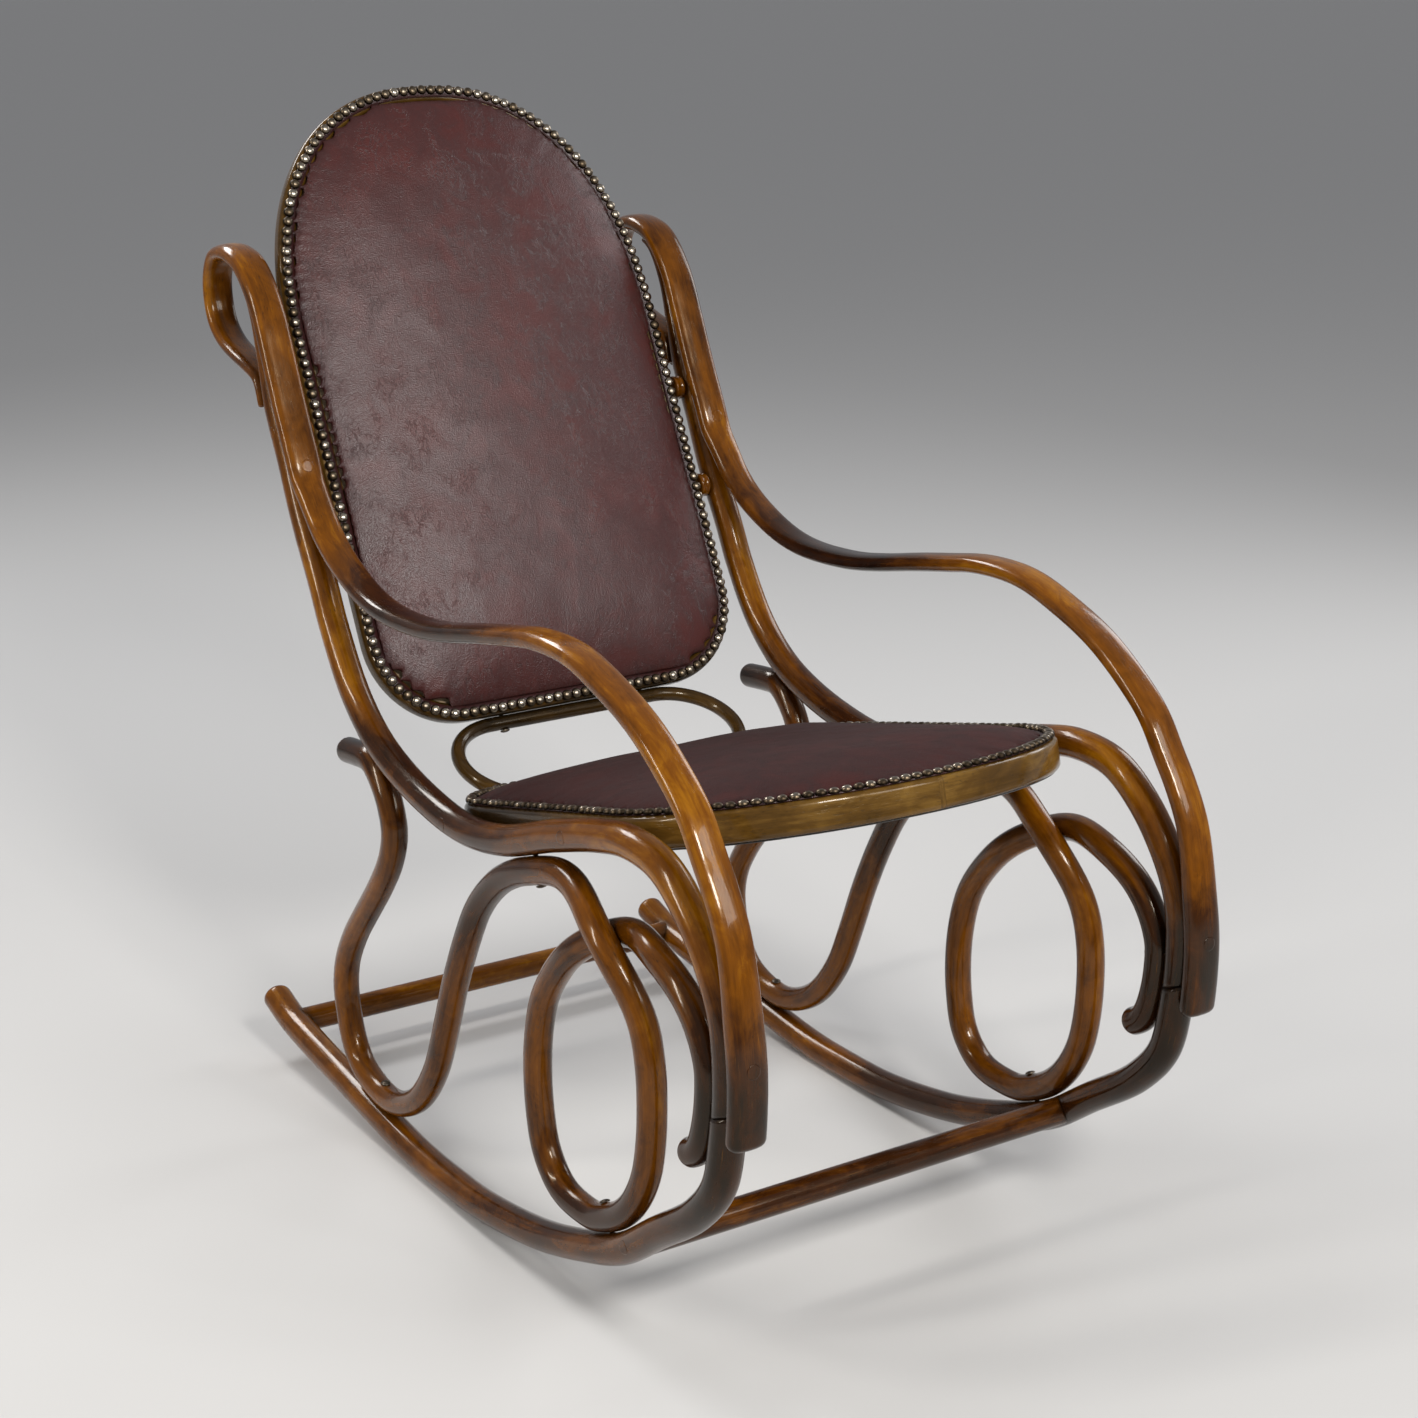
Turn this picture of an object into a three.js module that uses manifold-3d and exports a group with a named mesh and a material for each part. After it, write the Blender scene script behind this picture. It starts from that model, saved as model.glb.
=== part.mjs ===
// Bentwood rocking chair, millimetres, +Z up. The sitter faces -Y, and the sitter's left is +X.
// Each side frame is four bent beech members that lie against each other in one upright plane:
// the side rail, the rocker runner, the arm and the scrollwork.
import * as THREE from "three";
import { mergeVertices } from "three/addons/utils/BufferGeometryUtils.js";
import Module from "manifold-3d";

const wasm = await Module();
wasm.setup();

// Driving dimensions of the side frames
const frameSpacing = 493;
const sideDepth = 1070;
const sideHeight = 914;
const railThickness = 30;
const railTipThickness = 7;
const railTipWidth = 15;
const runnerWidth = 32;
const armWidth = 36;
const armThickness = 20;
const armRestWidth = 32;
const armRestThickness = 18;
const armCurlWidth = 32;
const armCurlThickness = 14;
const armTailWidth = 27;
const armTailThickness = 9;
const scrollThickness = 27;
const spliceSlant = 7;
const endRound = 8;
const tipRound = 3;
const touchGap = 0.4;
const stretcherThickness = 27;

// Driving dimensions of the seat, the back and the link ring
const seatFront = 102;
const seatDepth = 525;
const seatFrontCurve = 178;
const seatRearCorner = 92;
const seatRimHeight = 29;
const seatRimThickness = 20;
const seatBoltFrontDrop = 0.1;
const seatBoltRearRise = 2.2;
const backFoot = 728;
const backFootHeight = 438;
const backHeight = 692;
const backArchHeight = 281;
const backArchFullness = 2.3;
const backSpacer = 11.5;
const backSpacerThickness = 26;
const backLowerCorner = 96;
const backLean = THREE.MathUtils.degToRad(27);
const backRimDepth = 18;
const backRimThickness = 19;
const rimEdge = 4;
const panelThickness = 9;
const panelDrop = 6;
const coverThickness = 3;
const padInset = 5;
const padWall = 4;
const seatCrown = 26;
const backCrown = 30;
const linkThickness = 15;
const linkLength = 337;

// Driving dimensions of the fasteners
const boltShank = 6;
const boltHead = 12;
const boltHeadHeight = 3.4;
const screwShank = 4.6;
const screwHead = 10;
const screwHeadHeight = 2.6;
const sunkDepth = 6;
const bite = 14;
const stretcherBite = 32;
const holeGap = 0.35;

// How finely curves are broken into straight steps
const bendStep = THREE.MathUtils.degToRad(11);
const longestStep = 80;
const shortestStep = 12;
const lookSteps = 24;
const lineDivisions = 3000;
const memberSides = 12;
const scrollSides = 10;
const barSides = 10;
const fastenerSides = 6;
const straightSteps = 3;
const cornerSteps = 7;
const archSteps = 20;

// Corners closer together than this are one corner, and places along the line closer than this one place
const weldGap = 0.001;
const sameShare = 1e-6;

// A fastener's head is flat on top over this share of its width, and full width from this share of its height
const headFlatShare = 0.7;
const headEdgeShare = 1 / 3;

// The frame line runs down the back post, along the seat, down the bow and back along the floor.
// Each pair is a share of the side's depth from the front and of its height from the floor.
const frameLineShares = [
  [0.927, 0.967],
  [0.898, 0.955],
  [0.871, 0.917],
  [0.854, 0.87],
  [0.837, 0.819],
  [0.812, 0.762],
  [0.789, 0.705],
  [0.755, 0.638],
  [0.735, 0.595],
  [0.696, 0.532],
  [0.654, 0.493],
  [0.61, 0.471],
  [0.543, 0.453],
  [0.478, 0.447],
  [0.409, 0.459],
  [0.313, 0.498],
  [0.239, 0.524],
  [0.196, 0.533],
  [0.148, 0.527],
  [0.109, 0.498],
  [0.078, 0.457],
  [0.061, 0.42],
  [0.055, 0.385],
  [0.054, 0.344],
  [0.057, 0.303],
  [0.068, 0.249],
  [0.099, 0.204],
  [0.158, 0.153],
  [0.215, 0.105],
  [0.274, 0.076],
  [0.354, 0.046],
  [0.46, 0.0236],
  [0.526, 0.0192],
  [0.593, 0.0192],
  [0.66, 0.0262],
  [0.739, 0.037],
  [0.875, 0.057],
  [0.916, 0.071],
];

// The arm leaves the bow, makes the arm rest, and comes back to the post.
const armRestShares = [
  [0.049, 0.493],
  [0.067, 0.533],
  [0.083, 0.559],
  [0.104, 0.593],
  [0.139, 0.626],
  [0.174, 0.651],
  [0.217, 0.671],
  [0.274, 0.689],
  [0.335, 0.689],
  [0.384, 0.679],
  [0.436, 0.667],
  [0.487, 0.654],
  [0.533, 0.645],
  [0.6, 0.641],
  [0.637, 0.645],
  [0.67, 0.655],
  [0.717, 0.679],
  [0.748, 0.705],
];

// The arm's top turns over behind the post and comes down as a flattened tail.
const armCurlShares = [
  [0.958, 0.974],
  [0.973, 0.943],
  [0.966, 0.9],
  [0.945, 0.879],
  [0.916, 0.867],
  [0.89, 0.859],
];

// The scrollwork from its hooked tip behind the seat to the bow. The places where it touches
// the frame line are left out here: they are worked out from the frame line.
const scrollHookShares = [
  [0.712, 0.457],
  [0.681, 0.461],
];
const scrollWaveShares = [
  [0.635, 0.436],
  [0.624, 0.413],
  [0.62, 0.389],
  [0.63, 0.356],
  [0.654, 0.317],
  [0.688, 0.272],
  [0.717, 0.232],
  [0.737, 0.193],
  [0.743, 0.16],
  [0.739, 0.13],
  [0.729, 0.098],
  [0.71, 0.073],
];
const scrollArchShares = [
  [0.63, 0.063],
  [0.587, 0.09],
  [0.551, 0.14],
  [0.528, 0.198],
  [0.507, 0.259],
  [0.481, 0.321],
  [0.454, 0.371],
  [0.415, 0.413],
];
const scrollLoopShares = [
  [0.261, 0.446],
  [0.237, 0.429],
  [0.221, 0.411],
  [0.199, 0.383],
  [0.181, 0.356],
  [0.17, 0.326],
  [0.167, 0.286],
  [0.169, 0.243],
  [0.177, 0.202],
  [0.196, 0.164],
];
const scrollReturnShares = [
  [0.314, 0.119],
  [0.342, 0.148],
  [0.352, 0.187],
  [0.355, 0.231],
  [0.351, 0.276],
  [0.339, 0.319],
  [0.312, 0.362],
  [0.278, 0.398],
  [0.24, 0.423],
  [0.212, 0.434],
  [0.183, 0.4375],
  [0.154, 0.433],
  [0.131, 0.4225],
  [0.1135, 0.408],
  [0.0985, 0.388],
  [0.0868, 0.3665],
];
const scrollTipShares = [
  [0.0925, 0.272],
  [0.107, 0.2525],
  [0.124, 0.2425],
];

// Places along the frame line, as shares of its length from the tip of the post
const taperShare = 0.072;
const railTipShare = 0.008;
const armPostTopShare = 0;
const armTailTopShare = 0.06;
const armTailShare = 0.07;
const backBoltUpperShare = 0.085;
const armScrewPostShare = 0.104;
const armPostFootShare = 0.12;
const backBoltLowerShare = 0.133;
const scrollHookTouchShare = 0.23;
const seatBoltRearShare = 0.3;
const scrollArchStartShare = 0.355;
const scrollScrewArchShare = 0.366;
const scrollArchEndShare = 0.378;
const seatBoltFrontShare = 0.4;
const armBowTopShare = 0.527;
const armScrewBowShare = 0.538;
const scrollBowTopShare = 0.548;
const scrollScrewBowShare = 0.5515;
const spliceShare = 0.559;
const armBowEndShare = 0.5628;
const scrollBowEndShare = 0.566;
const frontStretcherShare = 0.663;
const scrollLoopStartShare = 0.669;
const scrollScrewLoopShare = 0.682;
const scrollLoopEndShare = 0.693;
const floorFrontShare = 0.8245;
const floorRearShare = 0.8505;
const scrollWaveTouchShare = 0.885;
const rearStretcherShare = 0.98;

// Where the scrollwork crosses itself, and how far from there it starts to swing aside
const crossingShares = [0.228, 0.42];
const crossingReachShare = 0.085;

// The pads' crown, from the edge to the middle: size of the loop, and share of the crown's height
const crownShares = [
  [0.985, 0.13],
  [0.94, 0.33],
  [0.86, 0.54],
  [0.74, 0.73],
  [0.56, 0.88],
  [0.32, 0.97],
];

// How square the flattened members are: 2 is an ellipse, more is squarer
const roundSection = 2;
const armSection = 2.7;

const timber = (color) => new THREE.MeshStandardMaterial({ color, roughness: 0.35, metalness: 0 });
const railWood = timber("#8a4a1c");
const ringWood = timber("#7a5526");
const panelWood = timber("#c9a878");
const leather = new THREE.MeshStandardMaterial({ color: "#5e1416", roughness: 0.45, metalness: 0 });
const cloth = new THREE.MeshStandardMaterial({ color: "#26201d", roughness: 0.95, metalness: 0 });
const steel = new THREE.MeshStandardMaterial({ color: "#8c7d66", roughness: 0.35, metalness: 1 });

const point = (x, y, z) => new THREE.Vector3(x, y, z);
const sidePoint = ([y, z]) => point(0, y * sideDepth, z * sideHeight);
const across = point(1, 0, 0);
const mix = THREE.MathUtils.lerp;

// Solids by node name, each with its material
const solids = new Map();

function solidOf(geometry) {
  const corners = geometry.toNonIndexed().getAttribute("position");
  const bare = new THREE.BufferGeometry().setAttribute("position", corners);
  const merged = mergeVertices(bare, weldGap);
  const index = merged.index.array;
  const kept = [];
  for (let i = 0; i < index.length; i += 3) {
    const [a, b, c] = [index[i], index[i + 1], index[i + 2]];
    if (a !== b && b !== c && c !== a) kept.push(a, b, c);
  }
  const build = (order) =>
    new wasm.Manifold(
      new wasm.Mesh({
        numProp: 3,
        vertProperties: merged.getAttribute("position").array,
        triVerts: new Uint32Array(order),
      }),
    );
  const made = build(kept);
  return made.volume() > 0 ? made : build(kept.reverse());
}

function meshOf(name, solid, material) {
  const data = solid.getMesh();
  const places = new Float32Array(data.numVert * 3);
  for (let i = 0; i < data.numVert; i++) {
    places.set(data.vertProperties.subarray(i * data.numProp, i * data.numProp + 3), i * 3);
  }
  const geometry = new THREE.BufferGeometry()
    .setAttribute("position", new THREE.BufferAttribute(places, 3))
    .setIndex(new THREE.BufferAttribute(data.triVerts, 1));
  const mesh = new THREE.Mesh(geometry, material);
  mesh.name = name;
  return mesh;
}

function add(name, geometry, material) {
  solids.set(name, { solid: solidOf(geometry), material });
}

// Joins rows of points into one closed skin; each row is a loop with the same number of points.
function skin(rows, joinsItself) {
  const sides = rows[0].length;
  const places = rows.flat().flatMap((p) => [p.x, p.y, p.z]);
  const corners = [];
  const last = joinsItself ? rows.length : rows.length - 1;
  for (let r = 0; r < last; r++) {
    const near = r * sides;
    const far = ((r + 1) % rows.length) * sides;
    for (let k = 0; k < sides; k++) {
      const next = (k + 1) % sides;
      corners.push(near + k, near + next, far + next, near + k, far + next, far + k);
    }
  }
  if (!joinsItself) {
    const top = (rows.length - 1) * sides;
    for (let k = 1; k < sides - 1; k++) {
      corners.push(0, k + 1, k, top, top + k, top + k + 1);
    }
  }
  return new THREE.BufferGeometry()
    .setAttribute("position", new THREE.Float32BufferAttribute(places, 3))
    .setIndex(corners);
}

// One cross-section: a rounded loop with a corner on the outer and on the inner side of the bend
function sectionLoop(ring, sides) {
  const loop = [];
  for (let k = 0; k < sides; k++) {
    const angle = Math.PI / 2 + (k / sides) * 2 * Math.PI;
    const c = Math.cos(angle);
    const s = Math.sin(angle);
    const wide = Math.sign(c) * Math.abs(c) ** (2 / ring.section);
    const thick = Math.sign(s) * Math.abs(s) ** (2 / ring.section);
    const p = ring.at.clone();
    p.addScaledVector(across, (wide * ring.width) / 2);
    p.addScaledVector(ring.out, (thick * ring.thickness) / 2);
    p.addScaledVector(ring.along, -thick * (ring.slant || 0));
    loop.push(p);
  }
  return loop;
}

// Two smaller sections beyond an end, so that the end is rounded
function roundedEnd(ring, sign, reach) {
  return [
    [0.55, 0.84],
    [0.95, 0.45],
  ].map(([far, size]) => ({
    ...ring,
    at: ring.at.clone().addScaledVector(ring.along, sign * far * reach),
    width: ring.width - 2 * (1 - size) * reach,
    thickness: ring.thickness - 2 * (1 - size) * Math.min(reach, ring.thickness / 2),
  }));
}

function bentMember(rings, sides, reachStart, reachEnd) {
  const all = [...rings];
  if (reachStart) all.unshift(...roundedEnd(rings[0], -1, reachStart).reverse());
  if (reachEnd) all.push(...roundedEnd(rings[rings.length - 1], 1, reachEnd));
  return skin(
    all.map((ring) => sectionLoop(ring, sides)),
    false,
  );
}

// The frame line and the places beside it
const frameLine = new THREE.CatmullRomCurve3(frameLineShares.map(sidePoint), false, "centripetal");
frameLine.arcLengthDivisions = lineDivisions;

function frameThickness(share) {
  return share < taperShare ? mix(railTipThickness, railThickness, share / taperShare) : railThickness;
}

function beside(share, distance) {
  const along = frameLine.getTangentAt(share);
  const out = point(0, along.z, -along.y);
  const at = frameLine.getPointAt(share).addScaledVector(out, distance);
  return { at, along, out, share };
}

const outsideOf = (share, thickness) => beside(share, frameThickness(share) / 2 + touchGap + thickness / 2);
const insideOf = (share, thickness) => beside(share, -(frameThickness(share) / 2 + touchGap + thickness / 2));

// Shares where the frame line gets a section: at each named place, and often enough in between
const namedShares = [
  0,
  railTipShare,
  taperShare,
  armTailTopShare,
  armTailShare,
  armPostFootShare,
  scrollHookTouchShare,
  scrollArchStartShare,
  scrollArchEndShare,
  armBowTopShare,
  scrollBowTopShare,
  spliceShare,
  armBowEndShare,
  scrollBowEndShare,
  scrollLoopStartShare,
  scrollLoopEndShare,
  floorFrontShare,
  floorRearShare,
  scrollWaveTouchShare,
  1,
].sort((a, b) => a - b);

function frameShares() {
  const shares = [];
  const length = frameLine.getLength();
  for (let i = 1; i < namedShares.length; i++) {
    const from = namedShares[i - 1];
    const to = namedShares[i];
    let turned = 0;
    let before = frameLine.getTangentAt(from);
    for (let k = 1; k <= lookSteps; k++) {
      const tangent = frameLine.getTangentAt(mix(from, to, k / lookSteps));
      turned += before.angleTo(tangent);
      before = tangent;
    }
    const enough = Math.max(turned / bendStep, ((to - from) * length) / longestStep);
    const steps = Math.max(1, Math.ceil(enough));
    for (let k = 0; k < steps; k++) shares.push(mix(from, to, k / steps));
  }
  return [...shares, 1];
}

const sharesAlong = frameShares();
const between = (from, to) => sharesAlong.filter((s) => s > from - sameShare && s < to + sameShare);

// Sections of a member that runs through held stops (beside the frame line) and free stops
function ringsThrough(stops, aside) {
  const line = new THREE.CatmullRomCurve3(
    stops.map((s) => s.at),
    false,
    "centripetal",
  );
  const rings = [];
  const place = (where, fixed) => {
    const first = Math.min(Math.floor(where), stops.length - 2);
    const blend = where - first;
    const a = stops[first];
    const b = stops[first + 1];
    const along = fixed ? fixed.along : line.getTangent(where / (stops.length - 1));
    const at = fixed ? fixed.at.clone() : line.getPoint(where / (stops.length - 1));
    const flat = point(0, along.y, along.z).normalize();
    const out = fixed ? fixed.out : point(0, flat.z, -flat.y);
    const ring = {
      at,
      along: flat,
      out,
      width: mix(a.width, b.width, blend),
      thickness: mix(a.thickness, b.thickness, blend),
      section: a.section,
    };
    if (aside) ring.at.x += aside(ring.at, blend < 0.5 ? a.strand : b.strand);
    rings.push(ring);
    return ring;
  };
  const turnedRound = (s) => ({ ...s, along: s.along.clone().negate(), out: s.out.clone().negate() });
  for (let i = 0; i < stops.length; i++) {
    if (stops[i].out) place(i, stops[i].turned ? turnedRound(stops[i]) : stops[i]);
    else if (i === 0 || i === stops.length - 1) place(i);
    if (i === stops.length - 1) break;
    if (stops[i].out && stops[i + 1].out && stops[i].run && stops[i + 1].run) continue;
    for (let k = 1; k <= lookSteps; k++) {
      const where = i + k / lookSteps;
      const lastRing = rings[rings.length - 1];
      const tangent = line.getTangent(where / (stops.length - 1));
      const here = line.getPoint(where / (stops.length - 1));
      const flat = point(0, tangent.y, tangent.z).normalize();
      const gone = Math.hypot(here.y - lastRing.at.y, here.z - lastRing.at.z);
      const nextFixed = stops[i + 1].out || i + 1 === stops.length - 1;
      const left = Math.hypot(stops[i + 1].at.y - here.y, stops[i + 1].at.z - here.z);
      if (nextFixed && left < shortestStep) break;
      if (flat.angleTo(lastRing.along) > bendStep || gone > longestStep) place(where);
    }
  }
  return rings;
}

const stop = (shares, width, thickness, section, strand) => ({
  at: sidePoint(shares),
  width,
  thickness,
  section,
  strand,
});

const held = (place, width, thickness, section, strand, turned) => ({
  ...place,
  width,
  thickness,
  section,
  strand,
  turned,
  run: true,
});

function railRings(from, to, width) {
  return between(from, to).map((share) => ({
    ...beside(share, 0),
    width: share < taperShare ? mix(railTipWidth, width, share / taperShare) : width,
    thickness: frameThickness(share),
    section: roundSection,
  }));
}

// The splice between the side rail and the rocker runner is a slanted cut across both.
const rail = railRings(railTipShare, spliceShare, railThickness);
rail[rail.length - 1].slant = spliceSlant;
const railGeometry = bentMember(rail, memberSides, tipRound, 0);
const runner = railRings(spliceShare, 1, runnerWidth);
runner[0].slant = spliceSlant;
runner[0].at.addScaledVector(runner[0].along, touchGap);
const runnerGeometry = bentMember(runner, memberSides, 0, endRound);

const armStops = [
  ...between(armBowTopShare, armBowEndShare)
    .reverse()
    .map((s) => held(outsideOf(s, armThickness), armWidth, armThickness, armSection, 0, true)),
  ...armRestShares.map((s) => stop(s, armRestWidth, armRestThickness, armSection, 0)),
  ...between(armPostTopShare, armPostFootShare)
    .reverse()
    .map((s) => held(outsideOf(s, armThickness), armWidth, armThickness, armSection, 0, true)),
  ...armCurlShares.map((s) => stop(s, armCurlWidth, armCurlThickness, armSection, 0)),
  ...between(armTailTopShare, armTailShare).map((s) =>
    held(insideOf(s, armTailThickness), armTailWidth, armTailThickness, armSection, 0, false),
  ),
];
const armGeometry = bentMember(ringsThrough(armStops), memberSides, endRound, tipRound);

// Where the scrollwork crosses itself, one strand swings to each side.
const crossing = sidePoint(crossingShares);
const crossingReach = crossingReachShare * sideDepth;

function swing(at, strand) {
  const away = Math.min(1, Math.hypot(at.y - crossing.y, at.z - crossing.z) / crossingReach);
  return ((strand * (scrollThickness + touchGap)) / 2) * Math.cos((away * Math.PI) / 2) ** 2;
}

const scrollStop = (strand) => (s) => stop(s, scrollThickness, scrollThickness, roundSection, strand);
const scrollTouch = (share, strand, turned) =>
  held(insideOf(share, scrollThickness), scrollThickness, scrollThickness, roundSection, strand, turned);
const scrollStops = [
  ...scrollHookShares.map(scrollStop(0)),
  scrollTouch(scrollHookTouchShare, 0, false),
  ...scrollWaveShares.map(scrollStop(0)),
  scrollTouch(scrollWaveTouchShare, 0, true),
  ...scrollArchShares.map(scrollStop(0)),
  ...between(scrollArchStartShare, scrollArchEndShare).map((s) => scrollTouch(s, -1, false)),
  ...scrollLoopShares.map(scrollStop(-1)),
  ...between(scrollLoopStartShare, scrollLoopEndShare).map((s) => scrollTouch(s, 0, false)),
  ...scrollReturnShares.map(scrollStop(1)),
  ...between(scrollBowTopShare, scrollBowEndShare).map((s) => scrollTouch(s, 0, false)),
  ...scrollTipShares.map(scrollStop(0)),
];
const scrollGeometry = bentMember(ringsThrough(scrollStops, swing), scrollSides, endRound, endRound);

const hands = [
  ["right", -1],
  ["left", 1],
];
for (const [hand, sign] of hands) {
  const shift = (sign * frameSpacing) / 2;
  add("side_rail_" + hand, railGeometry.clone().translate(shift, 0, 0), railWood);
  add("rocker_runner_" + hand, runnerGeometry.clone().translate(shift, 0, 0), railWood);
  add("arm_" + hand, armGeometry.clone().translate(shift, 0, 0), railWood);
  add("scrollwork_" + hand, scrollGeometry.clone().translate(shift, 0, 0), railWood);
}

// A round rod between two points
function rod(from, to, diameter, sides) {
  const length = from.distanceTo(to);
  const direction = to.clone().sub(from).normalize();
  const turn = new THREE.Quaternion().setFromUnitVectors(point(0, 1, 0), direction);
  return new THREE.CylinderGeometry(diameter / 2, diameter / 2, length, sides)
    .translate(0, length / 2, 0)
    .applyQuaternion(turn)
    .translate(from.x, from.y, from.z);
}

// The stretchers' ends are hollowed to sit against the round runners.
const fatRunner = runner.map((r) => ({
  ...r,
  width: r.width + 2 * touchGap,
  thickness: r.thickness + 2 * touchGap,
}));
const saddle = bentMember(fatRunner, memberSides, 0, endRound);
for (const [name, share] of [
  ["front_stretcher", frontStretcherShare],
  ["rear_stretcher", rearStretcherShare],
]) {
  const { at } = beside(share, 0);
  const reach = frameSpacing / 2;
  const ends = [point(-reach, at.y, at.z), point(reach, at.y, at.z)];
  const bar = rod(...ends, stretcherThickness, memberSides);
  add(name, bar, railWood);
  const entry = solids.get(name);
  for (const [, sign] of hands) {
    const cutter = solidOf(saddle.clone().translate((sign * frameSpacing) / 2, 0, 0));
    entry.solid = entry.solid.subtract(cutter);
  }
  entry.solid = entry.solid.decompose().sort((a, b) => b.volume() - a.volume())[0];
}

// Outlines of the seat and the back, as loops of places with the direction that faces out
function outlineOf(shape) {
  const loop = shape.map(([x, y]) => new THREE.Vector2(x, y));
  return loop.map((p, i) => {
    const before = loop[(i + loop.length - 1) % loop.length];
    const after = loop[(i + 1) % loop.length];
    const one = p.clone().sub(before).normalize();
    const two = after.clone().sub(p).normalize();
    const along = one.add(two);
    const facing = new THREE.Vector2(along.y, -along.x).normalize();
    const miter = 1 / Math.max(0.5, Math.abs(facing.dot(new THREE.Vector2(two.y, -two.x))));
    return { p, facing, miter };
  });
}

// A quarter of an ellipse about a centre, from one angle to the next; above 2 it is fuller
function quarter(x, y, wide, deep, from, steps, fullness = 2) {
  const swell = (a) => Math.sign(a) * Math.abs(a) ** (2 / fullness);
  return Array.from({ length: steps + 1 }, (_, k) => {
    const angle = from + ((k / steps) * Math.PI) / 2;
    return [x + wide * swell(Math.cos(angle)), y + deep * swell(Math.sin(angle))];
  });
}

function straight(from, to, steps) {
  return Array.from({ length: steps - 1 }, (_, k) => [
    mix(from[0], to[0], (k + 1) / steps),
    mix(from[1], to[1], (k + 1) / steps),
  ]);
}

const halfWidth = frameSpacing / 2 - railThickness / 2 - touchGap;
const half = Math.PI / 2;

function roundedOutline(reach, height, bottomCorner, topCorner, fullness) {
  const [bottomWide, bottomDeep, bottomSteps] = bottomCorner;
  const [topWide, topDeep, topSteps] = topCorner;
  const corners = [
    quarter(reach - bottomWide, bottomDeep, bottomWide, bottomDeep, -half, bottomSteps),
    quarter(reach - topWide, height - topDeep, topWide, topDeep, 0, topSteps, fullness),
    quarter(topWide - reach, height - topDeep, topWide, topDeep, half, topSteps, fullness),
    quarter(bottomWide - reach, bottomDeep, bottomWide, bottomDeep, 2 * half, bottomSteps),
  ];
  const points = [];
  corners.forEach((corner, i) => {
    const next = corners[(i + 1) % corners.length];
    const end = corner[corner.length - 1];
    const gone = Math.hypot(end[0] - next[0][0], end[1] - next[0][1]);
    if (gone < touchGap) corner.pop();
    points.push(...corner);
    if (gone >= touchGap) points.push(...straight(end, next[0], straightSteps));
  });
  return outlineOf(points);
}

// A seat or back has its own axes: x across, y along the outline, and z up from its show face.
const inset = (station, amount, size, centre) => {
  const p = station.p.clone().addScaledVector(station.facing, -amount * station.miter);
  return centre.clone().lerp(p, size);
};

function rim(outline, thickness, depth, frame) {
  const profile = [
    [0, -rimEdge],
    [rimEdge, 0],
    [thickness - rimEdge, 0],
    [thickness, -rimEdge],
    [thickness, rimEdge - depth],
    [thickness - rimEdge, -depth],
    [rimEdge, -depth],
    [0, rimEdge - depth],
  ];
  const centre = new THREE.Vector2();
  const rows = outline.map((station) =>
    profile.map(([amount, z]) => {
      const p = inset(station, amount, 1, centre);
      return point(p.x, p.y, z).applyMatrix4(frame);
    }),
  );
  return skin(rows, true);
}

// Levels of a flat or crowned slab, from its underside to its top: how far in, what size, what height
function slab(outline, levels, centre, frame) {
  const rows = levels.map(([amount, size, z]) =>
    outline.map((station) => {
      const p = inset(station, amount, size, centre);
      return point(p.x, p.y, z).applyMatrix4(frame);
    }),
  );
  const sides = outline.length;
  const geometry = skin(rows, false);
  const caps = (rows.length - 1) * sides * 6;
  const corners = Array.from(geometry.index.array).slice(0, caps);
  const places = Array.from(geometry.getAttribute("position").array);
  const bottom = point(centre.x, centre.y, levels[0][2]).applyMatrix4(frame);
  const top = point(centre.x, centre.y, levels[levels.length - 1][2]).applyMatrix4(frame);
  places.push(bottom.x, bottom.y, bottom.z, top.x, top.y, top.z);
  const low = rows.length * sides;
  const start = (rows.length - 1) * sides;
  for (let k = 0; k < sides; k++) {
    const next = (k + 1) % sides;
    corners.push(low, next, k, low + 1, start + k, start + next);
  }
  return new THREE.BufferGeometry()
    .setAttribute("position", new THREE.Float32BufferAttribute(places, 3))
    .setIndex(corners);
}

function crownLevels(crown) {
  return crownShares.map(([size, rise]) => [padInset, size, touchGap + padWall + rise * crown]);
}

function upholstery(prefix, outline, depth, thickness, crown, centre, frame) {
  const inner = thickness + touchGap;
  const panelTop = -panelDrop;
  add(prefix + "_ring", rim(outline, thickness, depth, frame), ringWood);
  const panel = [
    [inner, 1, panelTop - panelThickness],
    [inner, 1, panelTop],
  ];
  add(prefix + "_panel", slab(outline, panel, centre, frame), panelWood);
  const pad = [
    [inner, 1, panelTop + touchGap],
    [inner, 1, touchGap],
    [padInset, 1, touchGap],
    [padInset, 1, touchGap + padWall],
    ...crownLevels(crown),
  ];
  add(prefix + "_pad", slab(outline, pad, centre, frame), leather);
  const cover = [
    [padInset, 1, -depth - touchGap - coverThickness],
    [padInset, 1, -depth - touchGap],
  ];
  return slab(outline, cover, centre, frame);
}

const basis = (x, y, z, origin) => new THREE.Matrix4().makeBasis(x, y, z).setPosition(origin);

// The seat hangs on its bolts, which set its height and tilt: the front one is a little below
// the middle of the ring's height, and the rear one a little above it.
const seatBoltFront = beside(seatBoltFrontShare, 0).at;
const seatBoltRear = beside(seatBoltRearShare, 0).at;
const boltLine = seatBoltRear.clone().sub(seatBoltFront);
const boltLineTurn = Math.asin((seatBoltFrontDrop + seatBoltRearRise) / boltLine.length());
const seatTilt = Math.atan2(-boltLine.z, boltLine.y) + boltLineTurn;
const seatUp = point(0, Math.sin(seatTilt), Math.cos(seatTilt));
const seatBack = point(0, Math.cos(seatTilt), -Math.sin(seatTilt));
const seatTop = seatBoltFront.clone().addScaledVector(seatUp, seatBoltFrontDrop + seatRimHeight / 2);
const seatOrigin = seatTop.clone().addScaledVector(seatBack, (seatFront - seatTop.y) / seatBack.y);
const seatFrame = basis(across, seatBack, seatUp, seatOrigin);
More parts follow.
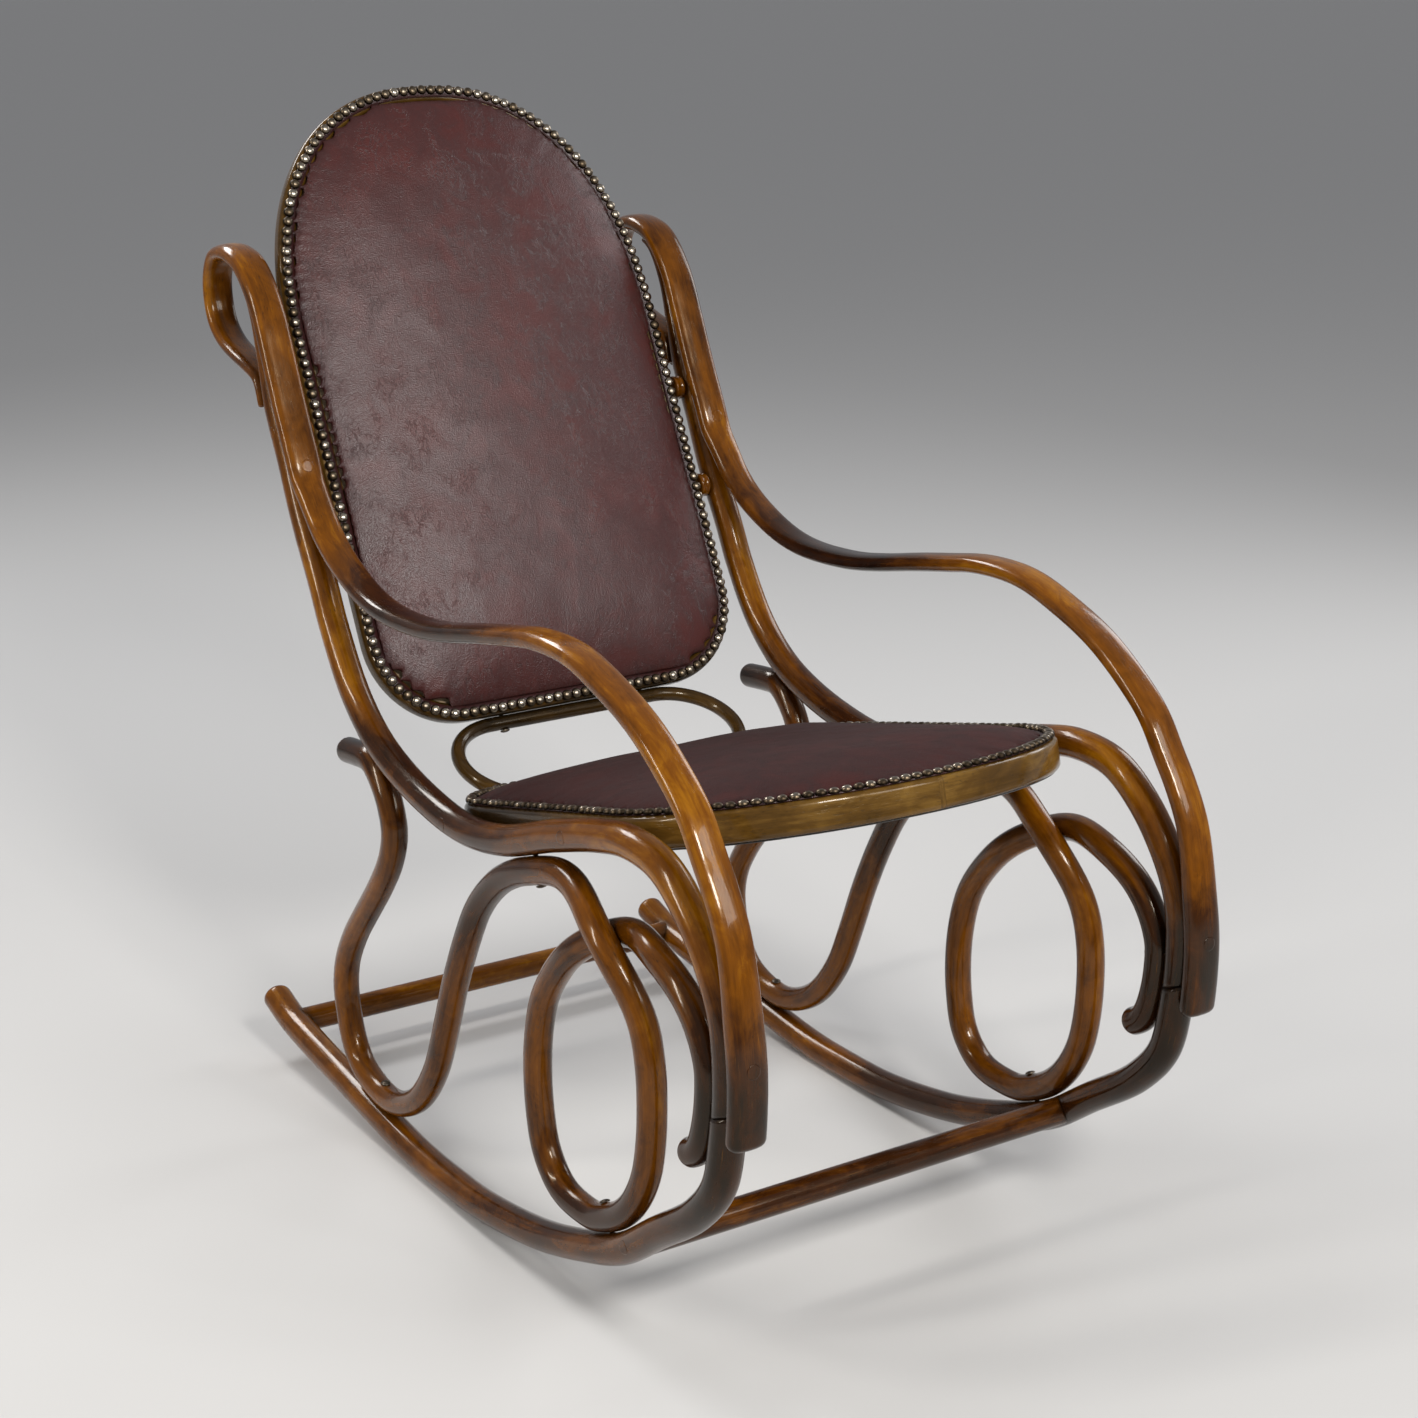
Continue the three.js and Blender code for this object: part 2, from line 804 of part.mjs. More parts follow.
const seatOutline = roundedOutline(
  halfWidth,
  seatDepth,
  [halfWidth, seatFrontCurve, archSteps / 2],
  [seatRearCorner, seatRearCorner, cornerSteps],
);
const seatCentre = new THREE.Vector2(0, seatDepth / 2);
add(
  "seat_dust_cover",
  upholstery("seat", seatOutline, seatRimHeight, seatRimThickness, seatCrown, seatCentre, seatFrame),
  cloth,
);

const backUp = point(0, Math.sin(backLean), Math.cos(backLean));
const backFace = point(0, -Math.cos(backLean), Math.sin(backLean));
const backFrame = basis(across, backUp, backFace, point(0, backFoot, backFootHeight));
const backHalfWidth = halfWidth - backSpacer - touchGap;
const backOutline = roundedOutline(
  backHalfWidth,
  backHeight,
  [backLowerCorner, backLowerCorner, cornerSteps],
  [backHalfWidth, backArchHeight, archSteps / 2],
  backArchFullness,
);
const backCentre = new THREE.Vector2(0, backHeight / 2);
add(
  "back_rear_cover",
  upholstery("back", backOutline, backRimDepth, backRimThickness, backCrown, backCentre, backFrame),
  leather,
);

// The link ring lies against the seat ring's rear and under the back ring's foot.
const linkGap = touchGap + linkThickness / 2;
const linkFront = point(0, seatDepth + linkGap, -seatRimHeight / 2).applyMatrix4(seatFrame);
const linkRear = point(0, -linkGap, -backRimDepth / 2).applyMatrix4(backFrame);
const linkBack = linkRear.clone().sub(linkFront);
const linkRadius = linkBack.length() / 2;
linkBack.normalize();
const linkUp = across.clone().cross(linkBack);
const linkFrame = basis(across, linkBack, linkUp, linkFront);
const linkReach = linkLength / 2 - linkThickness / 2 - linkRadius;
const linkShape = [
  ...quarter(linkReach, linkRadius, linkRadius, linkRadius, -half, cornerSteps),
  ...quarter(linkReach, linkRadius, linkRadius, linkRadius, 0, cornerSteps).slice(1),
  ...straight([linkReach, 2 * linkRadius], [-linkReach, 2 * linkRadius], straightSteps),
  ...quarter(-linkReach, linkRadius, linkRadius, linkRadius, half, cornerSteps),
  ...quarter(-linkReach, linkRadius, linkRadius, linkRadius, 2 * half, cornerSteps).slice(1),
  ...straight([-linkReach, 0], [linkReach, 0], straightSteps),
];
const linkRows = outlineOf(linkShape).map((station) =>
  Array.from({ length: barSides }, (_, k) => {
    const angle = half + (k / barSides) * 2 * Math.PI;
    const out = (Math.sin(angle) * linkThickness) / 2;
    const p = station.p.clone().addScaledVector(station.facing, out * station.miter);
    return point(p.x, p.y, (Math.cos(angle) * linkThickness) / 2).applyMatrix4(linkFrame);
  }),
);
add("link_ring", skin(linkRows, true), ringWood);

// A fastener's head lies on one member, or sunk in it, and its shank goes into the next one.
function fasten(name, surface, direction, reach, size, targets, sunk = 0) {
  const [headWide, headHigh, shank] = size;
  const head = surface.clone().addScaledVector(direction, sunk);
  const length = reach - sunk;
  const profile = [
    [0, headHigh],
    [(headWide * headFlatShare) / 2, headHigh],
    [headWide / 2, headHigh * headEdgeShare],
    [headWide / 2, 0],
    [shank / 2, 0],
    [shank / 2, -length],
    [0, -length],
  ].map(([x, y]) => new THREE.Vector2(x, y));
  const turn = new THREE.Quaternion().setFromUnitVectors(point(0, -1, 0), direction);
  const shape = new THREE.LatheGeometry(profile.reverse(), fastenerSides)
    .applyQuaternion(turn)
    .translate(head.x, head.y, head.z);
  add(name, shape, steel);
  const above = surface.clone().addScaledVector(direction, -headHigh);
  const under = head.clone().addScaledVector(direction, holeGap);
  const to = head.clone().addScaledVector(direction, length + holeGap);
  const bore = solidOf(rod(above, to, shank + 2 * holeGap, fastenerSides));
  const spot = solidOf(rod(above, under, headWide + 2 * holeGap, fastenerSides));
  const hole = bore.add(spot);
  for (const target of targets) {
    const entry = solids.get(target);
    entry.solid = entry.solid.subtract(hole);
  }
}

// Turned wooden spacers on the back bolts, between the posts and the back ring
for (const [hand, sign] of hands) {
  for (const [name, share] of [
    ["back_spacer_upper_", backBoltUpperShare],
    ["back_spacer_lower_", backBoltLowerShare],
  ]) {
    const { at } = beside(share, 0);
    const from = point(sign * halfWidth, at.y, at.z);
    const to = point(sign * (halfWidth - backSpacer), at.y, at.z);
    add(name + hand, rod(from, to, backSpacerThickness, memberSides), railWood);
  }
}

const boltSize = [boltHead, boltHeadHeight, boltShank];
const screwSize = [screwHead, screwHeadHeight, screwShank];

for (const [hand, sign] of hands) {
  const shift = point((sign * frameSpacing) / 2, 0, 0);
  const inward = point(-sign, 0, 0);
  const fromOutside = (name, share, width, depth, size, targets) => {
    const surface = beside(share, 0).at.add(shift).addScaledVector(inward, -width / 2);
    fasten(name, surface, inward, width + touchGap + depth, size, targets, sunkDepth);
  };
  const side = "side_rail_" + hand;
  const floor = "rocker_runner_" + hand;
  const intoSeat = [side, "seat_ring"];
  fromOutside("seat_bolt_front_" + hand, seatBoltFrontShare, railThickness, bite, boltSize, intoSeat);
  fromOutside("seat_bolt_rear_" + hand, seatBoltRearShare, railThickness, bite, boltSize, intoSeat);
  const backBite = backSpacer + touchGap + bite;
  for (const [place, share] of [
    ["upper_", backBoltUpperShare],
    ["lower_", backBoltLowerShare],
  ]) {
    const through = [side, "back_spacer_" + place + hand, "back_ring"];
    fromOutside("back_bolt_" + place + hand, share, railThickness, backBite, boltSize, through);
  }
  for (const [name, share, bar] of [
    ["stretcher_screw_front_", frontStretcherShare, "front_stretcher"],
    ["stretcher_screw_rear_", rearStretcherShare, "rear_stretcher"],
  ]) {
    fromOutside(name + hand, share, runnerWidth, stretcherBite, screwSize, [floor, bar]);
  }
  // Screws in the side plane: from the inner side of the frame line, or from its outer side
  const inPlane = (name, share, from, clamped, targets, sunk = 0) => {
    const place = beside(share, from * (frameThickness(share) / 2 + clamped + 2 * touchGap));
    const direction = place.out.clone().multiplyScalar(-from);
    const reach = clamped + 2 * touchGap + bite;
    fasten(name + hand, place.at.add(shift), direction, reach, screwSize, targets, sunk);
  };
  inPlane("arm_screw_bow_", armScrewBowShare, 1, armThickness, ["arm_" + hand, side], sunkDepth);
  inPlane("arm_screw_post_", armScrewPostShare, 1, armThickness, ["arm_" + hand, side], sunkDepth);
  inPlane("arm_screw_tail_", armTailShare, -1, armTailThickness, ["arm_" + hand, side]);
  const scroll = "scrollwork_" + hand;
  inPlane("scroll_screw_hook_", scrollHookTouchShare, -1, scrollThickness, [scroll, side]);
  inPlane("scroll_screw_arch_", scrollScrewArchShare, -1, scrollThickness, [scroll, side]);
  inPlane("scroll_screw_bow_", scrollScrewBowShare, -1, scrollThickness, [scroll, side]);
  inPlane("scroll_screw_loop_", scrollScrewLoopShare, -1, scrollThickness, [scroll, floor]);
  inPlane("scroll_screw_wave_", scrollWaveTouchShare, -1, scrollThickness, [scroll, floor]);
  const linkSide = (sign * linkLength) / 4;
  const seatward = linkFront.clone().addScaledVector(seatBack, linkGap).setX(linkSide);
  fasten(
    "link_screw_seat_" + hand,
    seatward,
    seatBack.clone().negate(),
    linkThickness + 2 * touchGap + bite,
    screwSize,
    ["link_ring", "seat_ring"],
  );
  const backward = linkRear.clone().addScaledVector(backUp, -linkGap).setX(linkSide);
  fasten("link_screw_back_" + hand, backward, backUp, linkThickness + 2 * touchGap + bite, screwSize, [
    "link_ring",
    "back_ring",
  ]);
}

const chair = new THREE.Group();
chair.name = "bentwood_rocking_chair";
for (const [name, { solid, material }] of solids) chair.add(meshOf(name, solid, material));
const box = new THREE.Box3().setFromObject(chair);
const middle = box.getCenter(point(0, 0, 0));
chair.position.set(-middle.x, -middle.y, -box.min.z);

export default chair;
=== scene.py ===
import math

import bpy
import numpy as np
from mathutils import Matrix, Vector, kdtree


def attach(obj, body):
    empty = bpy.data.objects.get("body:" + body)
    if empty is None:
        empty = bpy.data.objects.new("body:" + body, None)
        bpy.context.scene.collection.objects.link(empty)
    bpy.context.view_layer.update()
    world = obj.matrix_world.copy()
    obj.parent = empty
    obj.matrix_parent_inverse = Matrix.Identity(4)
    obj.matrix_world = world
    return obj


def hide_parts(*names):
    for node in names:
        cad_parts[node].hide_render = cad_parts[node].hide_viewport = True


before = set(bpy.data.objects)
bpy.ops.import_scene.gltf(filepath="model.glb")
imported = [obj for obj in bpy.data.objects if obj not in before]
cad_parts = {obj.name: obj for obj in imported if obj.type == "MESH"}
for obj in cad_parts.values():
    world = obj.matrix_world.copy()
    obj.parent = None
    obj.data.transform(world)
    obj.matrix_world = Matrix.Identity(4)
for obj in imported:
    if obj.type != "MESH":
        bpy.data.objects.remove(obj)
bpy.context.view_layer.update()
scene = bpy.context.scene

# Lengths below are millimetres in the drawing of the chair: y from the front of the side frames,
# z from the floor, x from the middle. The row frame's origin is the middle of the chair on the floor.
MM = 0.001
QUARTER = math.pi / 2
DRAWING_TO_ROW = np.array([0.2849, -540.5864, -2.3876])

# Side frames: their size, and each member's thickness or (width, thickness)
FRAME_SPACING = 493
SIDE_SIZE = np.array([1070, 914])
RAIL = 30
RAIL_TIP = 7
RAIL_TIP_WIDTH = 15
RUNNER_WIDTH = 32
ARM = (36, 20)
ARM_REST = (32, 18)
ARM_CURL = (32, 14)
ARM_TAIL = (27, 9)
SCROLL = (27, 27)
SPLICE_SLANT = 7
SLANT_REACH = 34
END_ROUND = 8
TIP_ROUND = 3
SMALLEST = 0.2
GAP = 0.4
STRETCHER = 27
# Powers of the members' sections, from an ellipse to a rounded bar
ROUND = 2
FLATTENED = 2.7
# How finely the members are drawn
STATION = 4
HOLD_PITCH = 9
STOP_STEPS = 24
PATH_SMOOTHING = 1.5

# Places on the side frames, as shares of the side's depth and height
FRAME_LINE = [
    (0.927, 0.967), (0.898, 0.955), (0.871, 0.917), (0.854, 0.87), (0.837, 0.819), (0.812, 0.762),
    (0.789, 0.705), (0.755, 0.638), (0.735, 0.595), (0.696, 0.532), (0.654, 0.493), (0.61, 0.471),
    (0.543, 0.453), (0.478, 0.447), (0.409, 0.459), (0.313, 0.498), (0.239, 0.524), (0.196, 0.533),
    (0.148, 0.527), (0.109, 0.498), (0.078, 0.457), (0.061, 0.42), (0.055, 0.385), (0.054, 0.344),
    (0.057, 0.303), (0.068, 0.249), (0.099, 0.204), (0.158, 0.153), (0.215, 0.105), (0.274, 0.076),
    (0.354, 0.046), (0.46, 0.0236), (0.526, 0.0192), (0.593, 0.0192), (0.66, 0.0262),
    (0.739, 0.037), (0.875, 0.057), (0.916, 0.071),
]
ARM_REST_LINE = [
    (0.049, 0.493), (0.067, 0.533), (0.083, 0.559), (0.104, 0.593), (0.139, 0.626),
    (0.174, 0.651), (0.217, 0.671), (0.274, 0.689), (0.335, 0.689), (0.384, 0.679), (0.436, 0.667),
    (0.487, 0.654), (0.533, 0.645), (0.6, 0.641), (0.637, 0.645), (0.67, 0.655), (0.7145, 0.6775),
    (0.7425, 0.7005), (0.763, 0.7265),
]
ARM_CURL_LINE = [
    (0.958, 0.974), (0.973, 0.943), (0.966, 0.9), (0.945, 0.879), (0.916, 0.867), (0.89, 0.859),
]
SCROLL_HOOK = [(0.712, 0.457), (0.681, 0.461)]
SCROLL_WAVE = [
    (0.635, 0.436), (0.624, 0.413), (0.62, 0.389), (0.63, 0.356), (0.654, 0.317), (0.688, 0.272),
    (0.717, 0.232), (0.737, 0.193), (0.743, 0.16), (0.739, 0.13), (0.729, 0.098), (0.71, 0.073),
]
SCROLL_ARCH = [
    (0.63, 0.063), (0.587, 0.09), (0.551, 0.14), (0.528, 0.198), (0.507, 0.259), (0.481, 0.321),
    (0.454, 0.371), (0.415, 0.413),
]
SCROLL_LOOP = [
    (0.312, 0.4603), (0.287, 0.459), (0.262, 0.4525), (0.239, 0.441), (0.218, 0.425), (0.2, 0.403),
    (0.185, 0.376), (0.1745, 0.346), (0.1685, 0.315), (0.167, 0.284), (0.169, 0.243), (0.177, 0.202),
    (0.196, 0.164),
]
SCROLL_RETURN = [
    (0.314, 0.119), (0.342, 0.148), (0.352, 0.187), (0.355, 0.231), (0.351, 0.276), (0.339, 0.319),
    (0.312, 0.362), (0.278, 0.398), (0.24, 0.423), (0.212, 0.434), (0.183, 0.4375), (0.1514, 0.4325),
    (0.1193, 0.4165), (0.1004, 0.3985), (0.0875, 0.3764),
]
SCROLL_TIP = [(0.0902, 0.283), (0.0975, 0.2695), (0.107, 0.263)]
CROSSING = (0.228, 0.42)
CROSSING_REACH = 0.085

# Places along the frame line, as shares of its length from the tip of the post
TAPER = 0.072
RAIL_TIP_SHARE = 0.008
ARM_TAIL_RUN = (0.06, 0.07)
ARM_POST_RUN = (0.109, 0)
ARM_BOW_RUN = (0.5628, 0.527)
SPLICE = 0.559
SCROLL_ARCH_RUN = (0.352, 0.362)
SCROLL_LOOP_RUN = (0.669, 0.693)
SCROLL_BOW_RUN = (0.548, 0.564)
SCROLL_HOOK_TOUCH = 0.23
SCROLL_WAVE_TOUCH = 0.885
BACK_BOLTS = {"upper": 0.085, "lower": 0.133}
SEAT_BOLTS = {"front": 0.4, "rear": 0.3}
STRETCHERS = {"front": 0.663, "rear": 0.98}
ARM_SCREWS = {"bow": 0.538, "post": 0.104}
ARM_TAIL_SCREW = 0.07
SCROLL_SCREWS = {
    "hook": SCROLL_HOOK_TOUCH, "arch": 0.366, "bow": 0.5515, "loop": 0.682, "wave": SCROLL_WAVE_TOUCH,
}


# ---- curves

def spline(points):
    """A centripetal Catmull-Rom curve through the points, read at places counted in points."""
    given = np.asarray(points, float)
    p = np.vstack([2 * given[0] - given[1], given, 2 * given[-1] - given[-2]])
    gap = np.sqrt(np.linalg.norm(np.diff(p, axis=0), axis=1))[:, None]

    def at(where):
        where = np.atleast_1d(where)
        i = np.clip(where.astype(int), 0, len(given) - 2)
        w = (where - i)[:, None]
        a, b, c, d = p[i], p[i + 1], p[i + 2], p[i + 3]
        g0, g1, g2 = gap[i], gap[i + 1], gap[i + 2]
        leaving = ((b - a) / g0 - (c - a) / (g0 + g1) + (c - b) / g1) * g1
        arriving = ((c - b) / g1 - (d - b) / (g1 + g2) + (d - c) / g2) * g1
        bend = -3 * b + 3 * c - 2 * leaving - arriving
        twist = 2 * b - 2 * c + leaving + arriving
        return b + w * leaving + w**2 * bend + w**3 * twist

    return at


def lengths(points):
    steps = np.linalg.norm(np.diff(points, axis=0), axis=1)
    return np.concatenate([[0], np.cumsum(steps)])


def tangents(points, closed=False):
    if closed:
        along = np.roll(points, -1, 0) - np.roll(points, 1, 0)
    else:
        along = np.gradient(points, axis=0)
    return along / np.linalg.norm(along, axis=1)[:, None]


def softened(values, reach):
    """Gaussian smoothing along a path; the ends keep their places."""
    wide = int(3 * reach) + 1
    kernel = np.exp(-0.5 * (np.arange(-wide, wide + 1) / reach) ** 2)
    kernel /= kernel.sum()
    before = 2 * values[0] - values[wide:0:-1]
    after = 2 * values[-1] - values[-2:-wide - 2:-1]
    padded = np.concatenate([before, values, after])
    columns = [np.convolve(c, kernel, "valid") for c in padded.T]
    return np.stack(columns, 1)


def read_at(where, run, table):
    return np.stack([np.interp(where, run, c) for c in table.T], -1)


LINE = spline(np.array(FRAME_LINE) * SIDE_SIZE)(np.linspace(0, len(FRAME_LINE) - 1, 16001))
LINE_RUN = lengths(LINE)
LINE_ALONG = tangents(LINE)


def beside(share, distance=0.0):
    """Place and direction at a share of the frame line; a positive distance lies outside its bends."""
    run = np.asarray(share, float) * LINE_RUN[-1]
    place, along = read_at(run, LINE_RUN, LINE), read_at(run, LINE_RUN, LINE_ALONG)
    along /= np.linalg.norm(along, axis=-1, keepdims=True)
    out = np.stack([along[..., 1], -along[..., 0]], -1)
    return place + out * np.asarray(distance)[..., None], along


def rail_thickness(share):
    return np.interp(share, [0, TAPER], [RAIL_TIP, RAIL])


def held(run, side, size, strand=0):
    """Stops of a member that lies against the frame line, on its outer (1) or inner (-1) side."""
    start, end = run
    count = max(2, int(abs(end - start) * LINE_RUN[-1] / HOLD_PITCH) + 1)
    shares = np.linspace(start, end, count) if end != start else [start]
    found = []
    for share in shares:
        away = side * (rail_thickness(share) / 2 + GAP + size[1] / 2)
        at = beside(share, away)[0]
        found.append({"at": at, "size": size, "strand": strand, "hold": (share, side)})
    return found


def free(table, size, strand=0):
    """Stops of a member away from the frame line; strand says on which side it passes the crossing."""
    return [{"at": np.array(p) * SIDE_SIZE, "size": size, "strand": strand, "hold": None} for p in table]


def path_through(stops):
    """Evenly spaced stations through the stops: (x, y, z) and (width, thickness) at each."""
    line = spline([s["at"] for s in stops])
    crossing = np.array(CROSSING) * SIDE_SIZE
    rows = []
    for i, (a, b) in enumerate(zip(stops, stops[1:])):
        for k in np.linspace(0, 1, STOP_STEPS, endpoint=False):
            size = (1 - k) * np.array(a["size"]) + k * np.array(b["size"])
            if a["hold"] and b["hold"] and a["hold"][1] == b["hold"][1]:
                share = a["hold"][0] + k * (b["hold"][0] - a["hold"][0])
                away = a["hold"][1] * (rail_thickness(share) / 2 + GAP + size[1] / 2)
                at = beside(share, away)[0]
            else:
                at = line(i + k)[0]
            strand = a["strand"] if k < 0.5 else b["strand"]
            off = min(1, np.linalg.norm(at - crossing) / (CROSSING_REACH * SIDE_SIZE[0]))
            x = strand * (SCROLL[0] + GAP) / 2 * math.cos(off * QUARTER) ** 2
            rows.append([x, *at, *size])
    rows.append([0, *stops[-1]["at"], *stops[-1]["size"]])
    rows = np.array(rows)
    run = lengths(rows[:, :3])
    even = np.linspace(0, run[-1], int(run[-1] / STATION) + 1)
    rows = read_at(even, run, rows)
    rows[:, :3] = softened(rows[:, :3], PATH_SMOOTHING)
    rows[:, 3:] = softened(rows[:, 3:], 3 * PATH_SMOOTHING)
    return rows


# ---- meshes

def full_turn(sides):
    return np.arange(sides) / sides * 2 * math.pi


def skin(rows, closed):
    """Faces over rows of points, each a closed loop of the same count; an open skin gets end faces."""
    count, sides = len(rows), len(rows[0])
    faces = []
    for r in range(count if closed else count - 1):
        near, far = r * sides, ((r + 1) % count) * sides
        for k in range(sides):
            j = (k + 1) % sides
            faces.append((near + k, near + j, far + j, far + k))
    if not closed:
        last = (count - 1) * sides
        faces.append(tuple(range(sides - 1, -1, -1)))
        faces.append(tuple(range(last, last + sides)))
    return faces


def volume(places, faces):
    """Six times the signed volume: negative where the faces look inwards."""
    fans = ((f[0], b, c) for f in faces for b, c in zip(f[1:], f[2:]))
    a, b, c = (places[list(corner)] for corner in zip(*fans))
    return (a * np.cross(b, c)).sum()


def piece(name, places, faces, material, nodes=(), slot=None, **attributes):
    """A smooth mesh in the drawing's millimetres becomes a piece that rides on the chair."""
    places = np.asarray(places, float)
    if volume(places - places.mean(0), faces) < 0:
        faces = [f[::-1] for f in faces]
    mesh = bpy.data.meshes.new(name)
    mesh.from_pydata(((places + DRAWING_TO_ROW) * MM).tolist(), [], faces)
    for key, values in attributes.items():
        values = np.asarray(values, np.float32)
        kind, field = ("FLOAT_VECTOR", "vector") if values.ndim == 2 else ("FLOAT", "value")
        mesh.attributes.new(key, kind, "POINT").data.foreach_set(field, values.ravel())
    mesh.shade_smooth()
    mesh.materials.append(material)
    obj = bpy.data.objects.new(name, mesh)
    scene.collection.objects.link(obj)
    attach(obj, "root")
    if nodes:
        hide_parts(*nodes)
    return obj


def section_points(place, along, size, section, sides, slant=0.0):
    """One cross-section, and each of its points as (across, out) from the middle."""
    angle = QUARTER + full_turn(sides)
    across, out = np.cos(angle), np.sin(angle)
    across = np.sign(across) * np.abs(across) ** (2 / section)
    out = np.sign(out) * np.abs(out) ** (2 / section)
    local = np.stack([across * size[0] / 2, out * size[1] / 2], 1)
    facing = np.array([along[1], -along[0]])
    plane = place[1:] + local[:, 1:] * facing - (out * slant)[:, None] * along
    return np.column_stack([place[0] + local[:, 0], plane]), local


def member(stations, section, sides, ends, slants=(0, 0)):
    """A bent member along its stations, with rounded or cut ends. Returns places, faces and grain."""
    places, sizes = stations[:, :3], stations[:, 3:]
    along = tangents(places[:, 1:])
    run = lengths(places)
    rows, grain = [], []

    def add(place, direction, size, where, slant=0.0):
        points, local = section_points(place, direction, size, section, sides, slant)
        rows.append(points)
        grain.append(np.column_stack([np.full(sides, where), local]))

    def round_end(i, way, reach):
        """Sections that shrink beyond the first (-1) or the last (1) station."""
        turn = np.linspace(0, QUARTER, 8)[1:-1]
        for a in turn[::way] if reach else ():
            far, small = math.sin(a) * reach, 1 - math.cos(a)
            place = np.array([places[i][0], *(places[i][1:] + way * along[i] * far)])
            less = 2 * small * np.array([reach, min(reach, sizes[i][1] / 2)])
            add(place, along[i], np.maximum(sizes[i] - less, SMALLEST), run[i] + way * far)

    round_end(0, -1, ends[0])
    for i in range(len(places)):
        slant = slants[0] * max(0, 1 - run[i] / SLANT_REACH)
        slant += slants[1] * max(0, 1 - (run[-1] - run[i]) / SLANT_REACH)
        add(places[i], along[i], sizes[i], run[i], slant)
    round_end(-1, 1, ends[1])
    return np.concatenate(rows), skin(rows, False), np.concatenate(grain)


def on_line(start, end, width):
    count = int((end - start) * LINE_RUN[-1] / STATION) + 1
    shares = np.linspace(start, end, count)
    place, _ = beside(shares)
    wide = np.interp(shares, [0, TAPER], [RAIL_TIP_WIDTH, width])
    return np.column_stack([0 * wide, place, wide, rail_thickness(shares)])


gap_share = GAP / LINE_RUN[-1]
arm_stops = (
    held(ARM_BOW_RUN, 1, ARM) + free(ARM_REST_LINE, ARM_REST) + held(ARM_POST_RUN, 1, ARM)
    + free(ARM_CURL_LINE, ARM_CURL) + held(ARM_TAIL_RUN, -1, ARM_TAIL)
)
scroll_stops = (
    free(SCROLL_HOOK, SCROLL) + held((SCROLL_HOOK_TOUCH, SCROLL_HOOK_TOUCH), -1, SCROLL)
    + free(SCROLL_WAVE, SCROLL) + held((SCROLL_WAVE_TOUCH, SCROLL_WAVE_TOUCH), -1, SCROLL)
    + free(SCROLL_ARCH, SCROLL) + held(SCROLL_ARCH_RUN, -1, SCROLL, -1) + free(SCROLL_LOOP, SCROLL, -1)
    + held(SCROLL_LOOP_RUN, -1, SCROLL) + free(SCROLL_RETURN, SCROLL, 1)
    + held(SCROLL_BOW_RUN, -1, SCROLL) + free(SCROLL_TIP, SCROLL)
)
MEMBERS = {
    "side_rail": member(
        on_line(RAIL_TIP_SHARE, SPLICE - gap_share, RAIL), ROUND, 32, (TIP_ROUND, 0), (0, SPLICE_SLANT)
    ),
    "rocker_runner": member(
        on_line(SPLICE + gap_share, 1, RUNNER_WIDTH), ROUND, 32, (0, END_ROUND), (SPLICE_SLANT, 0)
    ),
    "arm": member(path_through(arm_stops), FLATTENED, 36, (END_ROUND, TIP_ROUND)),
    "scrollwork": member(path_through(scroll_stops), ROUND, 28, (END_ROUND, END_ROUND)),
}

# Seat, back and link ring
SEAT_FRONT = 102
SEAT_DEPTH = 525
SEAT_FRONT_CURVE = 178
SEAT_REAR_CORNER = 92
SEAT_RIM = (20, 29)
SEAT_BOLT_FRONT_DROP = 0.1
SEAT_BOLT_REAR_RISE = 2.2
BACK_FOOT = (728, 438)
BACK_HEIGHT = 692
BACK_ARCH = 281
BACK_ARCH_FULLNESS = 2.3
BACK_SPACER = 11.5
BACK_LOWER_CORNER = 96
BACK_LEAN = math.radians(27)
BACK_RIM = (19, 18)
RIM_ROUND = 5
PANEL = 9
PANEL_DROP = 6
PANEL_BEVEL = 0.8
PAD_INSET = 5
LINK = 15
LINK_LENGTH = 337
HALF_WIDTH = FRAME_SPACING / 2 - RAIL / 2 - GAP
# How finely the rings are drawn, and the steps in each quarter of their curves
RIM_PITCH = 6
LINK_PITCH = 4
LINK_STEPS = 60
OUTLINE_STEPS = 200
STRETCHER_STATIONS = (-1, -0.997, *np.linspace(-0.98, 0.98, 90), 0.997, 1)


def quarter(x, y, wide, deep, start, steps, fullness=2):
    """A quarter of an ellipse about a middle; a greater fullness makes it squarer."""
    angle = start + np.linspace(0, QUARTER, steps + 1)
    c, s = np.cos(angle), np.sin(angle)
    return np.stack([
        x + wide * np.sign(c) * np.abs(c) ** (2 / fullness),
        y + deep * np.sign(s) * np.abs(s) ** (2 / fullness),
    ], 1)


def closed_outline(reach, height, bottom, top, fullness=2, pitch=5.0):
    """An even outline of a seat or back, seen from its show face, with the direction that faces out."""
    return even_loop(np.concatenate([
        quarter(reach - bottom[0], bottom[1], *bottom, -QUARTER, OUTLINE_STEPS),
        quarter(reach - top[0], height - top[1], *top, 0, OUTLINE_STEPS, fullness),
        quarter(top[0] - reach, height - top[1], *top, QUARTER, OUTLINE_STEPS, fullness),
        quarter(bottom[0] - reach, bottom[1], *bottom, 2 * QUARTER, OUTLINE_STEPS),
    ]), pitch)


def even_loop(loop, pitch, count=None):
    """Evenly spaced points round a closed line, what faces out at each, and its length."""
    loop = np.vstack([loop, loop[:1]])
    run = lengths(loop)
    count = count or int(round(run[-1] / pitch))
    where = np.arange(count) / count * run[-1]
    at = read_at(where, run, loop)
    along = tangents(at, closed=True)
    return at, np.stack([along[:, 1], -along[:, 0]], 1), run[-1]


def inset_outline(shape, inset, pitch):
    at, facing, _ = closed_outline(*shape, pitch=pitch)
    return at - facing * inset


class Plane:
    """A seat's or back's axes: x across, y along it, z up from its show face."""

    def __init__(self, origin, along, up):
        self.origin, self.along, self.up = (np.array([0, *v], float) for v in (origin, along, up))

    def out(self, points):
        return self.origin + np.asarray(points, float) @ np.array([[1, 0, 0], self.along, self.up])


